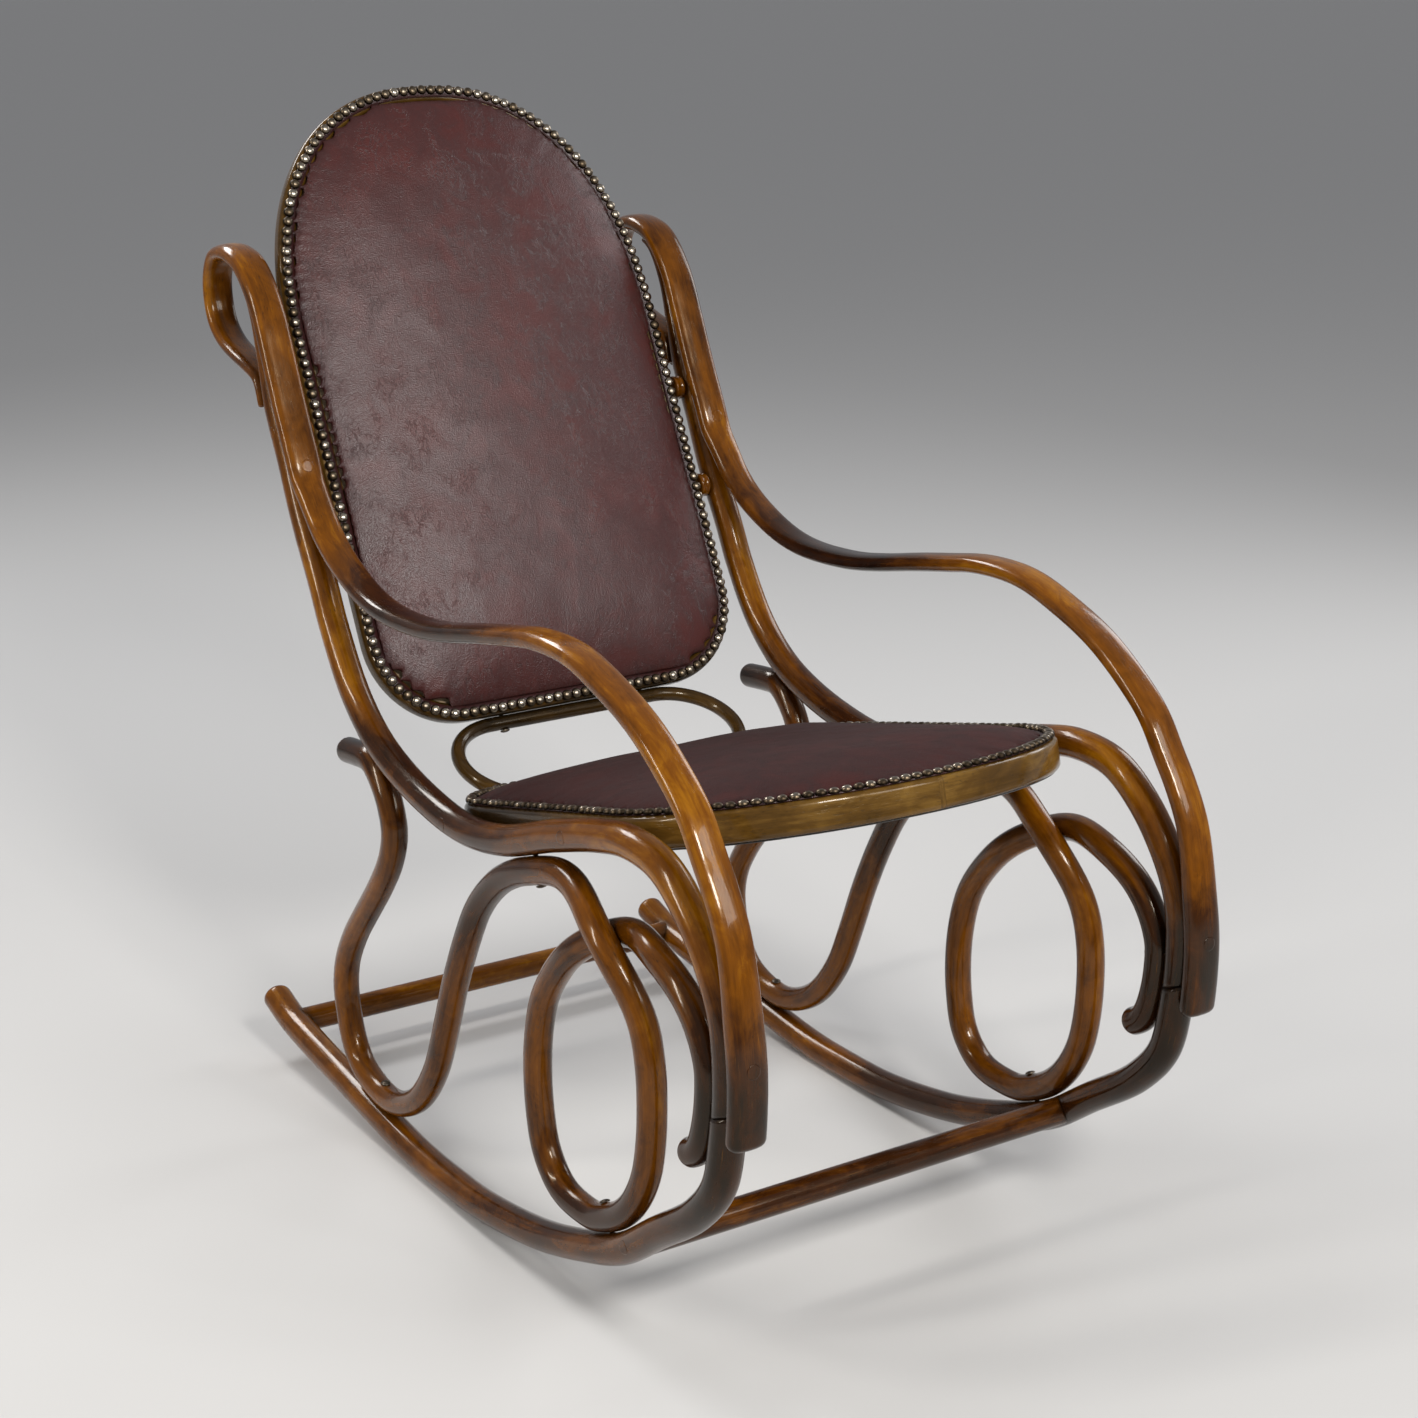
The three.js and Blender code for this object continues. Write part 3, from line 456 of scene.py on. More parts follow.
seat_front_bolt = beside(SEAT_BOLTS["front"])[0]
seat_bolt_line = beside(SEAT_BOLTS["rear"])[0] - seat_front_bolt
seat_tilt = math.atan2(-seat_bolt_line[1], seat_bolt_line[0])
seat_tilt += math.asin((SEAT_BOLT_FRONT_DROP + SEAT_BOLT_REAR_RISE) / np.linalg.norm(seat_bolt_line))
seat_up = np.array([math.sin(seat_tilt), math.cos(seat_tilt)])
seat_along = np.array([math.cos(seat_tilt), -math.sin(seat_tilt)])
seat_top = seat_front_bolt + seat_up * (SEAT_BOLT_FRONT_DROP + SEAT_RIM[1] / 2)
SEAT = Plane(seat_top + seat_along * (SEAT_FRONT - seat_top[0]) / seat_along[0], seat_along, seat_up)
lean = (math.sin(BACK_LEAN), math.cos(BACK_LEAN))
BACK = Plane(BACK_FOOT, lean, (-lean[1], lean[0]))
SEAT_SHAPE = (HALF_WIDTH, SEAT_DEPTH, (HALF_WIDTH, SEAT_FRONT_CURVE), (SEAT_REAR_CORNER,) * 2)
back_half = HALF_WIDTH - BACK_SPACER - GAP
BACK_SHAPE = (
    back_half, BACK_HEIGHT, (BACK_LOWER_CORNER,) * 2, (back_half, BACK_ARCH), BACK_ARCH_FULLNESS,
)
UPHOLSTERED = (("seat", SEAT_SHAPE, SEAT_RIM, SEAT), ("back", BACK_SHAPE, BACK_RIM, BACK))


def bar_section(thickness, depth, radius, steps=5):
    """A rounded bar's section: how far in from the outline, and how high, going round."""
    corners = [
        (radius, -radius, math.pi), (thickness - radius, -radius, QUARTER),
        (thickness - radius, radius - depth, 0), (radius, radius - depth, -QUARTER),
    ]
    section = []
    for x, z, start in corners:
        for angle in start - np.linspace(0, QUARTER, steps + 1):
            section.append((x + radius * math.cos(angle), z + radius * math.sin(angle)))
    return section


def rim_mesh(shape, rim, plane):
    """A bent ring: its faces, and its grain as length along the ring and place in its section."""
    at, facing, around = closed_outline(*shape, pitch=RIM_PITCH)
    rows, grain = [], []
    section = bar_section(*rim, RIM_ROUND)
    for i, (p, out) in enumerate(zip(at, facing)):
        rows.append([[*(p - out * inward), z] for inward, z in section])
        grain += [[i / len(at) * around, inward, z] for inward, z in section]
    places = plane.out(np.concatenate(rows))
    return places, skin(rows, True), np.array(grain)


def slab_mesh(shape, levels, plane):
    """A flat piece within an outline, from its lowest level to its highest: (inset, height)."""
    at, facing, _ = closed_outline(*shape, pitch=RIM_PITCH)
    rows = [[[*(p - out * inset), z] for p, out in zip(at, facing)] for inset, z in levels]
    return plane.out(np.concatenate(rows)), skin(rows, False)


def tube_along(loop, radius, plane):
    rows, grain = [], []
    at, facing, around = loop
    angle = full_turn(20)
    for i, (p, out) in enumerate(zip(at, facing)):
        rows.append([[*(p + out * radius * math.cos(a)), radius * math.sin(a)] for a in angle])
        grain += [[i / len(at) * around, radius * math.cos(a), radius * math.sin(a)] for a in angle]
    return plane.out(np.concatenate(rows)), skin(rows, True), np.array(grain)


link_gap = GAP + LINK / 2
link_front = SEAT.out([[0, SEAT_DEPTH + link_gap, -SEAT_RIM[1] / 2]])[0]
link_rear = BACK.out([[0, -link_gap, -BACK_RIM[1] / 2]])[0]
link_along = link_rear - link_front
link_round = np.linalg.norm(link_along) / 2
link_along /= 2 * link_round
LINK_PLANE = Plane(link_front[1:], link_along[1:], (-link_along[2], link_along[1]))
link_reach = LINK_LENGTH / 2 - LINK / 2 - link_round
LINK_LOOP = even_loop(np.concatenate([
    quarter(side * link_reach, link_round, link_round, link_round, start * QUARTER, LINK_STEPS)[first:]
    for side, start, first in ((1, -1, 0), (1, 0, 1), (-1, 1, 0), (-1, 2, 1))
]), LINK_PITCH)


def bar_mesh(share):
    """A stretcher whose ends follow the round runners."""
    centre, along = beside(share)
    facing = np.array([along[1], -along[0]])
    angle = full_turn(32)
    ring = np.stack([np.cos(angle), np.sin(angle)], 1) * STRETCHER / 2
    over = np.clip((ring @ facing) / (RAIL / 2 + GAP), -1, 1)
    end = FRAME_SPACING / 2 - (RUNNER_WIDTH / 2 + GAP) * np.sqrt(1 - over**2)
    rows, grain = [], []
    for s in STRETCHER_STATIONS:
        rows.append(np.column_stack([s * end, ring + centre]))
        grain.append(np.column_stack([s * end, ring]))
    return np.concatenate(rows), skin(rows, False), np.concatenate(grain)


# ---- turned pieces: spacers, bolts and screws

def lathe(profile, sides=28):
    """A turned piece about +Z from (radius, height) pairs, closed at both ends on its axis."""
    angle = full_turn(sides)
    rows = [[[radius * math.cos(a), radius * math.sin(a), z] for a in angle] for radius, z in profile]
    return np.array(rows).reshape(-1, 3), skin(rows, False)


def aimed(places, at, direction):
    """Turned pieces are made along +Z and set down along a direction."""
    turn = Vector((0, 0, 1)).rotation_difference(Vector(direction)).to_matrix()
    return places @ np.array(turn).T + np.asarray(at)


def bake_modifiers(obj):
    mesh = bpy.data.meshes.new_from_object(obj.evaluated_get(bpy.context.evaluated_depsgraph_get()))
    obj.modifiers.clear()
    obj.data = mesh


def vertex_places(mesh):
    return np.array([v.co for v in mesh.vertices])


def tree_of(places):
    tree = kdtree.KDTree(len(places))
    for i, p in enumerate(places):
        tree.insert(p, i)
    tree.balance()
    return tree


# ---- materials

class Finish:
    """A procedural material: nodes are added by kind, with sockets or plain values as inputs."""

    def __init__(self, name, **values):
        self.material = bpy.data.materials.new(name)
        self.material.use_nodes = True
        self.tree = self.material.node_tree
        self.shader = self.tree.nodes["Principled BSDF"]
        for key, value in values.items():
            self.shader.inputs[key.replace("_", " ")].default_value = value

    def node(self, kind, inputs=None, **settings):
        made = self.tree.nodes.new("ShaderNode" + kind)
        for key, value in settings.items():
            setattr(made, key, value)
        for key, value in (inputs or {}).items():
            if isinstance(value, bpy.types.NodeSocket):
                self.tree.links.new(value, made.inputs[key])
            else:
                made.inputs[key].default_value = value
        return made

    def attribute(self, name, vector=False):
        made = self.node("Attribute", attribute_name=name)
        return made.outputs["Vector" if vector else "Fac"]

    def place(self):
        return self.node("TexCoord").outputs["Object"]

    def stretched(self, where, stretch):
        return self.node("VectorMath", {0: where, 1: stretch}, operation="MULTIPLY").outputs[0]

    def noise(self, where, stretch, detail=2.0, rough=0.5, warp=0.0):
        inputs = {"Scale": 1.0, "Detail": detail, "Roughness": rough, "Distortion": warp}
        return self.node("TexNoise", {"Vector": self.stretched(where, stretch), **inputs}).outputs["Fac"]

    def sums(self, *terms):
        """The sum of (socket, factor) pairs."""
        total = 0.0
        for socket, factor in terms:
            inputs = {0: socket, 1: factor, 2: total}
            total = self.node("Math", inputs, operation="MULTIPLY_ADD").outputs[0]
        return total

    def spread(self, value, low, high, to_low=0.0, to_high=1.0):
        return self.node("MapRange", {0: value, 1: low, 2: high, 3: to_low, 4: to_high}).outputs[0]

    def times(self, a, b):
        return self.node("Math", {0: a, 1: b}, operation="MULTIPLY").outputs[0]

    def ramp(self, value, stops):
        made = self.node("ValToRGB", {"Fac": value})
        elements = made.color_ramp.elements
        while len(elements) < len(stops):
            elements.new(0.5)
        for element, (place, color) in zip(elements, stops):
            element.position = place
            element.color = (*color, 1)
        return made.outputs["Color"]

    def blend(self, amount, a, b):
        a, b = ((*c, 1) if isinstance(c, tuple) else c for c in (a, b))
        return self.node("Mix", {0: amount, 6: a, 7: b}, data_type="RGBA").outputs[2]

    def bump(self, height, distance, strength, **below):
        inputs = {"Height": height, "Distance": distance, "Strength": strength, **below}
        return self.node("Bump", inputs).outputs["Normal"]

    def to(self, color, rough, normal):
        for key, socket in (("Base Color", color), ("Roughness", rough), ("Normal", normal)):
            self.tree.links.new(socket, self.shader.inputs[key])
        return self.material


def polished_wood(name, deep, dark, mid, light, gloss=0.22):
    """Polished bent beech: grain along the bend, mottled stain with a tone by place that is partly
    painted light and painted shade, dark dirt in the corners.
    """
    f = Finish(name, Coat_Weight=0.3, Coat_Roughness=0.05, Specular_IOR_Level=0.22,
               Specular_Tint=(1, 0.78, 0.5, 1))
    grain = f.attribute("grain", True)
    tone = f.attribute("tone")
    cloud = f.spread(f.noise(grain, (5.5, 30, 30), 3, 0.6, 0.5), 0.34, 0.66)
    patch = f.spread(f.noise(grain, (30, 62, 62), 4, 0.62, 0.9), 0.34, 0.66)
    streak = f.spread(f.noise(grain, (9, 430, 430), 3, 0.65), 0.36, 0.66)
    # The tone by place brings painted light on lit bends and painted shade in shaded places into the
    # stain.
    mixed = f.sums((cloud, 0.3), (patch, 0.15), (streak, 0.07), (tone, 0.9))
    color = f.ramp(f.spread(mixed, 0.22, 1.2), [(0, deep), (0.26, dark), (0.55, mid), (0.9, light)])
    pores = f.spread(f.noise(grain, (150, 760, 760), 2, 0.6), 0.58, 0.68)
    worn = f.spread(f.noise(grain, (14, 60, 60), 2, 0.5), 0.48, 0.62)
    pitted = f.times(pores, worn)
    color = f.blend(f.times(pitted, 0.6), color, deep)
    scratch = f.spread(f.noise(grain, (34, 900, 900), 2, 0.7), 0.66, 0.76)
    color = f.blend(f.times(scratch, 0.18), color, light)
    grime = f.attribute("grime")
    color = f.blend(f.times(grime, 0.62), color, tuple(0.4 * c for c in deep))
    dull = f.sums((patch, 0.1), (grime, 0.2), (pitted, 0.14), (scratch, 0.1))
    rough = f.spread(dull, 0.0, 0.5, gloss - 0.05, gloss + 0.3)
    normal = f.bump(f.noise(grain, (20, 60, 60), 2), 0.0012, 0.35)
    normal = f.bump(f.sums((streak, 0.5), (pores, -0.5)), 0.0003, 0.4, Normal=normal)
    return f.to(color, rough, normal)


def aged_leather(name, plum, wine, dark, shine, smoothest, roughest):
    """Oxblood hide: fine grain, fibres and short creases, darker along its nails."""
    f = Finish(name, Specular_IOR_Level=shine, Sheen_Weight=0.02, Sheen_Roughness=0.35)
    place = f.place()
    cloud = f.noise(place, (6, 6, 6), 3, 0.55, 0.5)
    patch = f.noise(place, (34, 34, 24), 4, 0.62, 0.8)
    fibre = f.noise(place, (330, 330, 120), 3, 0.7, 1.2)
    cells = {"Vector": f.stretched(place, (780, 780, 780)), "Scale": 1.0}
    pebble = f.node("TexVoronoi", cells).outputs["Distance"]
    crease = f.noise(place, (130, 130, 50), 4, 0.6, 0.6)
    mottle = f.spread(f.sums((cloud, 0.6), (patch, 0.4)), 0.38, 0.62)
    color = f.ramp(mottle, [(0, wine), (0.5, plum), (1, wine)])
    color = f.blend(f.spread(fibre, 0.5, 0.75, 0, 0.4), color, tuple(1.7 * c for c in plum))
    crack = f.times(f.spread(crease, 0.46, 0.5), f.spread(crease, 0.54, 0.5))
    cracked = f.times(crack, f.spread(patch, 0.46, 0.6))
    color = f.blend(f.times(cracked, 0.5), color, dark)
    color = f.blend(f.times(f.attribute("near_nails"), 0.5), color, dark)
    scuffed = f.sums((patch, 0.5), (fibre, 0.3), (pebble, 0.2))
    rough = f.spread(scuffed, 0.3, 0.7, smoothest, roughest)
    normal = f.bump(pebble, 0.0005, 0.5)
    normal = f.bump(f.sums((fibre, 0.6), (cracked, -0.6)), 0.0006, 0.55, Normal=normal)
    normal = f.bump(patch, 0.0022, 0.3, Normal=normal)
    return f.to(color, rough, normal)


def antique_brass(name):
    """Dome nails: rubbed bright on top, brown in the joints between them; the colour follows each dome's
    height, so the bright tops are partly painted highlight and the dark rims partly painted shade.
    """
    f = Finish(name, Metallic=1.0)
    place = f.place()
    rise = f.attribute("rise")
    luck = f.attribute("luck")
    stain = f.noise(place, (320, 320, 320), 3, 0.6)
    # Lighter with height on each dome: rubbed wear, and also a painted highlight on the tops and painted
    # shade at the rims.
    worn = f.spread(f.sums((rise, 1.0), (stain, 0.6), (luck, 0.35)), 0.35, 1.6)
    shades = [(0, (0.016, 0.011, 0.007)), (0.5, (0.12, 0.088, 0.055)), (1, (0.47, 0.41, 0.33))]
    color = f.ramp(worn, shades)
    rough = f.spread(worn, 0, 1, 0.5, 0.22)
    return f.to(color, rough, f.bump(stain, 0.0002, 0.3))


def plain_wood(name, dark, light):
    f = Finish(name)
    place = f.place()
    rings = f.noise(place, (14, 260, 260), 4, 0.6, 0.8)
    color = f.ramp(f.spread(rings, 0.3, 0.7), [(0, dark), (1, light)])
    rough = f.spread(rings, 0.3, 0.7, 0.75, 0.6)
    return f.to(color, rough, f.bump(rings, 0.0003, 0.4))


def black_cloth(name):
    """Thin woven lining cloth under the seat."""
    f = Finish(name, Sheen_Weight=0.25, Sheen_Roughness=0.6)
    place = f.place()
    wave = {"Vector": place, "Scale": 240.0, "Distortion": 0.6}
    threads = [f.node("TexWave", wave, bands_direction=way).outputs["Fac"] for way in "XY"]
    weave = f.sums((threads[0], 0.5), (threads[1], 0.5))
    dust = f.noise(place, (16, 16, 16), 4, 0.6)
    dusty = f.sums((weave, 0.35), (dust, 0.6))
    color = f.ramp(dusty, [(0.2, (0.008, 0.0075, 0.007)), (0.9, (0.05, 0.046, 0.042))])
    rough = f.spread(weave, 0, 1, 0.95, 0.8)
    return f.to(color, rough, f.bump(weave, 0.0003, 0.6))


def dark_iron(name):
    f = Finish(name, Metallic=1.0)
    place = f.place()
    stain = f.noise(place, (260, 260, 260), 4, 0.65)
    shades = [(0, (0.045, 0.035, 0.027)), (0.6, (0.16, 0.13, 0.1)), (1, (0.34, 0.28, 0.2))]
    color = f.ramp(f.spread(stain, 0.35, 0.7), shades)
    rough = f.spread(stain, 0.3, 0.7, 0.6, 0.34)
    return f.to(color, rough, f.bump(stain, 0.0003, 0.5))


BEECH = polished_wood(
    "beech", (0.006, 0.0022, 0.0008), (0.036, 0.0093, 0.0008), (0.155, 0.047, 0.001), (0.42, 0.168, 0.004)
)
RING_WOOD = polished_wood(
    "ring_beech",
    (0.006, 0.0032, 0.001), (0.028, 0.0135, 0.0024), (0.085, 0.041, 0.0065), (0.24, 0.13, 0.025), 0.24,
)
SOILED = (0.01, 0.0032, 0.0027)
LEATHER = aged_leather(
    "oxblood_leather", (0.046, 0.01, 0.0085), (0.066, 0.0088, 0.006), SOILED, 0.55, 0.3, 0.42
)
# The seat's hide: darker colours than the back's, which are painted shade, and rougher with less shine,
# which is wear.
SEAT_LEATHER = aged_leather(
    "worn_oxblood_leather_with_painted_shade", (0.031, 0.0075, 0.0065), (0.043, 0.007, 0.0052), SOILED, 0.2, 0.62, 0.8
)
BRASS = antique_brass("antique_brass")
PLY = plain_wood("birch_ply", (0.4, 0.27, 0.15), (0.62, 0.46, 0.29))
LINING = black_cloth("lining_cloth")
IRON = dark_iron("old_iron")


# ---- the wood

HANDS = {"right": -1, "left": 1}
rng = np.random.default_rng(7)
wood = {}
for hand, sign in HANDS.items():
    for name, (places, faces, grain) in MEMBERS.items():
        places = places + [sign * FRAME_SPACING / 2, 0, 0]
        wood[name + "_" + hand] = (places, faces, grain, BEECH, "bent_beech")
for place, share in STRETCHERS.items():
    wood[place + "_stretcher"] = (*bar_mesh(share), BEECH, "bent_beech")
for prefix, *ring in UPHOLSTERED:
    wood[prefix + "_ring"] = (*rim_mesh(*ring), RING_WOOD, "ring_wood")
wood["link_ring"] = (*tube_along(LINK_LOOP, LINK / 2, LINK_PLANE), RING_WOOD, "ring_wood")
SPACER_TURNING = [
    (11.2, 0), (12.4, 0.5), (13, 1.6), (13, 3.2), (12.2, 4.2),
    (12.2, 7.2), (13, 8.3), (13, 9.9), (12.4, 11), (11.2, BACK_SPACER),
]
for hand, sign in HANDS.items():
    for level, share in BACK_BOLTS.items():
        places, faces = lathe(SPACER_TURNING, 32)
        grain = places[:, [2, 0, 1]]
        places = aimed(places, [sign * HALF_WIDTH, *beside(share)[0]], (-sign, 0, 0))
        wood[f"back_spacer_{level}_{hand}"] = (places, faces, grain, BEECH, "spacer_wood")


def grime_of(name):
    """How close each point is to another piece of wood: 1 within 2 mm, 0 from 7 mm."""
    own = wood[name][0]
    others = np.concatenate([v[0][::2] for key, v in wood.items() if key != name])
    others = others[((others > own.min(0) - 10) & (others < own.max(0) + 10)).all(1)]
    tree = tree_of(others)
    away = np.array([tree.find(p)[2] if len(others) else 99 for p in own])
    return np.clip(1 - (away - 2) / 5, 0, 1) ** 1.5


# Where the stain is paler or darker, partly worn polish and partly painted light and painted shade: paler
# on the lit loops and bends, darker under the seat, along the low runner, on the wave's shaded side and
# at the hook's end. Columns: depth and height on the side frame, reach, and change
EVEN_TONE = 0.5
STAIN_AND_PAINTED_LIGHT = [
    (590, 590, 140, -0.3), (325, 630, 110, 0.1), (140, 550, 120, 0.14), (40, 300, 85, -0.42),
    (520, 415, 160, -0.28), (620, 150, 110, -0.14), (370, 200, 130, 0.16), (180, 245, 90, 0.14),
    (300, 60, 230, -0.32), (80, 180, 90, -0.3), (770, 520, 110, 0.12), (930, 780, 120, -0.08),
    (755, 418, 55, -0.4),
]


def tone_of(places):
    """Old polish worn golden on the bends and darker elsewhere, with painted light where the loops and
    bends are lit and painted shade under the seat, along the low runner and in shaded corners.
    """
    tone = np.full(len(places), EVEN_TONE)
    for y, z, reach, change in STAIN_AND_PAINTED_LIGHT:
        tone += change * np.exp(-((places[:, 1] - y) ** 2 + (places[:, 2] - z) ** 2) / reach**2)
    return tone


# Nothing reaches under the floor, and each piece's grain starts at a place of its own
floor_height = -DRAWING_TO_ROW[2]
grains = {}
for name, (places, faces, grain, finish, slot) in wood.items():
    places[:, 2] = np.maximum(places[:, 2], floor_height)
    grains[name] = grain + rng.uniform(-400, 400, 3)
    piece(
        name + "_wood", places, faces, finish, [name], slot,
        grain=grains[name] * MM, grime=grime_of(name), tone=tone_of(places),
    )


# ---- bolts and screws

# A head's width and height, and its shank; the slot's cutter is in shares of width, width and height
SCREW = (10, 2.6, 4.6)
BOLT = (12, 3.4, 6)
HEAD_EDGE = 0.28
HEAD_GAP = 0.4
SLOT = (1.2, 0.13, 0.9)
SUNK = 6
BITE = 14
STRETCHER_BITE = 32
PLUG = 6.6


def dome_head(width, height, shank, length):
    """A domed head on a shank; the head's underside is at zero and the head rises along +Z."""
    turn = np.linspace(0, QUARTER, 7)[:-1]
    dome = [(width / 2 * math.cos(a), height * (HEAD_EDGE + (1 - HEAD_EDGE) * math.sin(a))) for a in turn]
    below = [(shank / 2, -length), (shank / 2, 0), (width / 2 - 0.3, 0), (width / 2, 0.25)]
    return [*below, *dome, (0.3, height)]


def slotted(obj, at, direction, width, height, turn):
    """Cuts the screwdriver's slot across a head."""
    bpy.ops.mesh.primitive_cube_add(size=1)
    cutter = bpy.context.object
    cutter.scale = (width * SLOT[0] * MM, width * SLOT[1] * MM, height * SLOT[2] * MM)
    facing = Vector((0, 0, 1)).rotation_difference(Vector(direction))
    cutter.rotation_mode = "QUATERNION"
    cutter.rotation_quaternion = facing @ Matrix.Rotation(turn, 3, "Z").to_quaternion()
    cutter.location = (at + direction * height + DRAWING_TO_ROW) * MM
    bpy.context.view_layer.update()
    cut = obj.modifiers.new("slot", "BOOLEAN")
    cut.operation, cut.solver, cut.object = "DIFFERENCE", "EXACT", cutter
    bake_modifiers(obj)
    bpy.data.objects.remove(cutter)


def fastener(node, surface, direction, kind, reach, sunk=0):
    """A head on its member, or sunk in it, with the shank going in along the direction."""
    direction = np.asarray(direction, float)
    places, faces = lathe(dome_head(*kind, reach - sunk))
    at = surface + direction * sunk
    obj = piece(node + "_iron", aimed(places, at, -direction), faces, IRON, [node], "fasteners")
    if not sunk:
        slotted(obj, at, -direction, *kind[:2], rng.uniform(0, 3))


def plug(name, host, middle, normal, across, along, half, bulge, section):
    """A wooden plug over a sunk head, flush with its rounded host, whose grain it follows."""
    normal, across, along = (np.asarray(v, float) for v in (normal, across, along))
    sides, rows, grime = 28, [], []
    angle = full_turn(sides)
    for radius, lift, dirt in (
        (0.4, 0, 0), (2.4, 0, 0), (4.4, 0, 0), (5.9, 0, 0.05), (PLUG, -0.05, 0.4), (PLUG, -3, 1),
    ):
        a, c = radius * np.cos(angle), radius * np.sin(angle)
        height = bulge * (1 - np.abs(c / half) ** section) ** (1 / section) + 0.1 + lift
        rows.append(middle + np.outer(a, along) + np.outer(c, across) + np.outer(height, normal))
        grime.append(np.full(sides, dirt))
    places = np.concatenate(rows)
    surface = wood[host][0]
    near = np.argmin(((surface - middle - bulge * normal) ** 2).sum(1))
    away = places - surface[near]
    run = away @ along * (-1 if host.startswith("arm") else 1)
    grain = grains[host][near] + np.stack([run, away[:, 0], away @ np.cross([1, 0, 0], along)], 1)
    piece(name, places, skin(rows, False), BEECH, (), "bent_beech",
          grain=grain * MM, grime=np.concatenate(grime), tone=tone_of(places))


def side_point(hand, share, away=0.0):
    return np.array([HANDS[hand] * FRAME_SPACING / 2, *beside(share, away)[0]])


def frame_axes(share):
    along = beside(share)[1]
    return np.array([0, *along]), np.array([0, along[1], -along[0]])


def from_outside(name, hand, share, host, width, kind, depth):
    """A sunk fastener through a side member towards the chair's middle, under its plug."""
    outward = np.array([HANDS[hand], 0, 0])
    middle = side_point(hand, share)
    along, out = frame_axes(share)
    name = f"{name}_{hand}"
    fastener(name, middle + outward * width / 2, -outward, kind, width + GAP + depth, SUNK)
    plug(name + "_plug", f"{host}_{hand}", middle, outward, out, along, RAIL / 2, width / 2, ROUND)


def in_plane(name, hand, share, side, clamped, sunk=0):
    """A screw in the frame's own plane, through a member on its outer (1) or inner (-1) side."""
    along, out = frame_axes(share)
    name = f"{name}_{hand}"
    reach = clamped + 2 * HEAD_GAP
    surface = side_point(hand, share, side * (rail_thickness(share) / 2 + reach))
    fastener(name, surface, -side * out, SCREW, reach + BITE, sunk)
    if sunk:
        middle = side_point(hand, share, side * (rail_thickness(share) / 2 + GAP + clamped / 2))
        half, bulge = ARM[0] / 2, clamped / 2
        plug(name + "_plug", f"arm_{hand}", middle, side * out, (1, 0, 0), along, half, bulge, FLATTENED)


FROM_OUTSIDE = [
    ("seat_bolt_", SEAT_BOLTS, "side_rail", RAIL, BOLT, BITE),
    ("back_bolt_", BACK_BOLTS, "side_rail", RAIL, BOLT, BACK_SPACER + GAP + BITE),
    ("stretcher_screw_", STRETCHERS, "rocker_runner", RUNNER_WIDTH, SCREW, STRETCHER_BITE),
]
for hand, sign in HANDS.items():
    for prefix, places, *made in FROM_OUTSIDE:
        for place, share in places.items():
            from_outside(prefix + place, hand, share, *made)
    for place, share in ARM_SCREWS.items():
        in_plane("arm_screw_" + place, hand, share, 1, ARM[1], SUNK)
    in_plane("arm_screw_tail", hand, ARM_TAIL_SCREW, -1, ARM_TAIL[1])
    for place, share in SCROLL_SCREWS.items():
        in_plane("scroll_screw_" + place, hand, share, -1, SCROLL[1])
    for ring, middle, along in (("seat", link_front, SEAT.along), ("back", link_rear, -BACK.along)):
        surface = middle + along * link_gap + [sign * LINK_LENGTH / 4, 0, 0]
        name = f"link_screw_{ring}_{hand}"
        fastener(name, surface, -along, SCREW, LINK + 2 * GAP + BITE)


# ---- panels, lining and rear cover

COVER = 1.8
COVER_NAIL_INSET = 12
LINING_CLOTH = 0.9

for prefix, shape, rim, plane in UPHOLSTERED:
    inner, low, high = rim[0] + GAP, -PANEL_DROP - PANEL, -PANEL_DROP
    edge = [
        (inner + PANEL_BEVEL, low), (inner, low + PANEL_BEVEL),
        (inner, high - PANEL_BEVEL), (inner + PANEL_BEVEL, high),
    ]
    piece(prefix + "_panel_ply", *slab_mesh(shape, edge, plane), PLY, [prefix + "_panel"], "panel_wood")


def sheet_mesh(shape, plane, levels, height):
    """A closed sheet: loops out from the middle on one face and back in on the other."""
    edge = inset_outline(shape, PAD_INSET, 8)
    middle = edge.mean(0)
    shares = np.linspace(1, 0.04, 9)
    rows = []
    for sizes, z in zip((shares[::-1], shares), levels):
        for size in sizes:
            rows.append(np.column_stack([middle + (edge - middle) * size, np.full(len(edge), z)]))
    flat = np.concatenate(rows)
    flat[:, 2] += height(flat)
    return plane.out(flat), skin(rows, False)


# ---- leather pads

NAIL_PITCH = 11
NAIL_RADIUS = 5.35
NAIL_HEIGHT = 4.6
NAIL_INSET = 7.4
EDGE_INNER = 13
EDGE_THICK = 1.8
EDGE_LEVEL = 0.3
START_INSET = 10
SWELL_VOXEL = 0.0055
SWELL_FRAMES = 20
SWELL_MOST = 9
HELD_BELOW = 3.2
# A pad's rise from its nails inwards: distance, and share of its crown
CROWN_SHARES = [
    (0, 0), (4, 0.1), (10, 0.22), (22, 0.38), (42, 0.57), (70, 0.76), (105, 0.9), (150, 0.98), (230, 1),
]


def smooth_noise(points, scale, seed):
    """Seeded value noise on (n, 2) places, from -1 to 1."""
    table = np.random.default_rng(seed).uniform(-1, 1, (64, 64))
    p = points / scale
    w = p - np.floor(p)
    w = w * w * (3 - 2 * w)
    i, j = np.floor(p).astype(int).T
    a, b, c, d = (table[(i + x) % 64, (j + y) % 64] for y in (0, 1) for x in (0, 1))
    low, high = a + (b - a) * w[:, 0], c + (d - c) * w[:, 0]
    return low + (high - low) * w[:, 1]


class Edge:
    """How far a place is from a seat's or back's outline, and where along it."""

    def __init__(self, shape):
        self.at, _, self.around = closed_outline(*shape, pitch=2.0)
        self.tree = tree_of([(*p, 0) for p in self.at])

    def find(self, points):
        found = [self.tree.find((*p, 0)) for p in points]
        away = np.array([f[2] for f in found])
        where = np.array([f[1] for f in found]) * self.around / len(self.at)
        return away, where


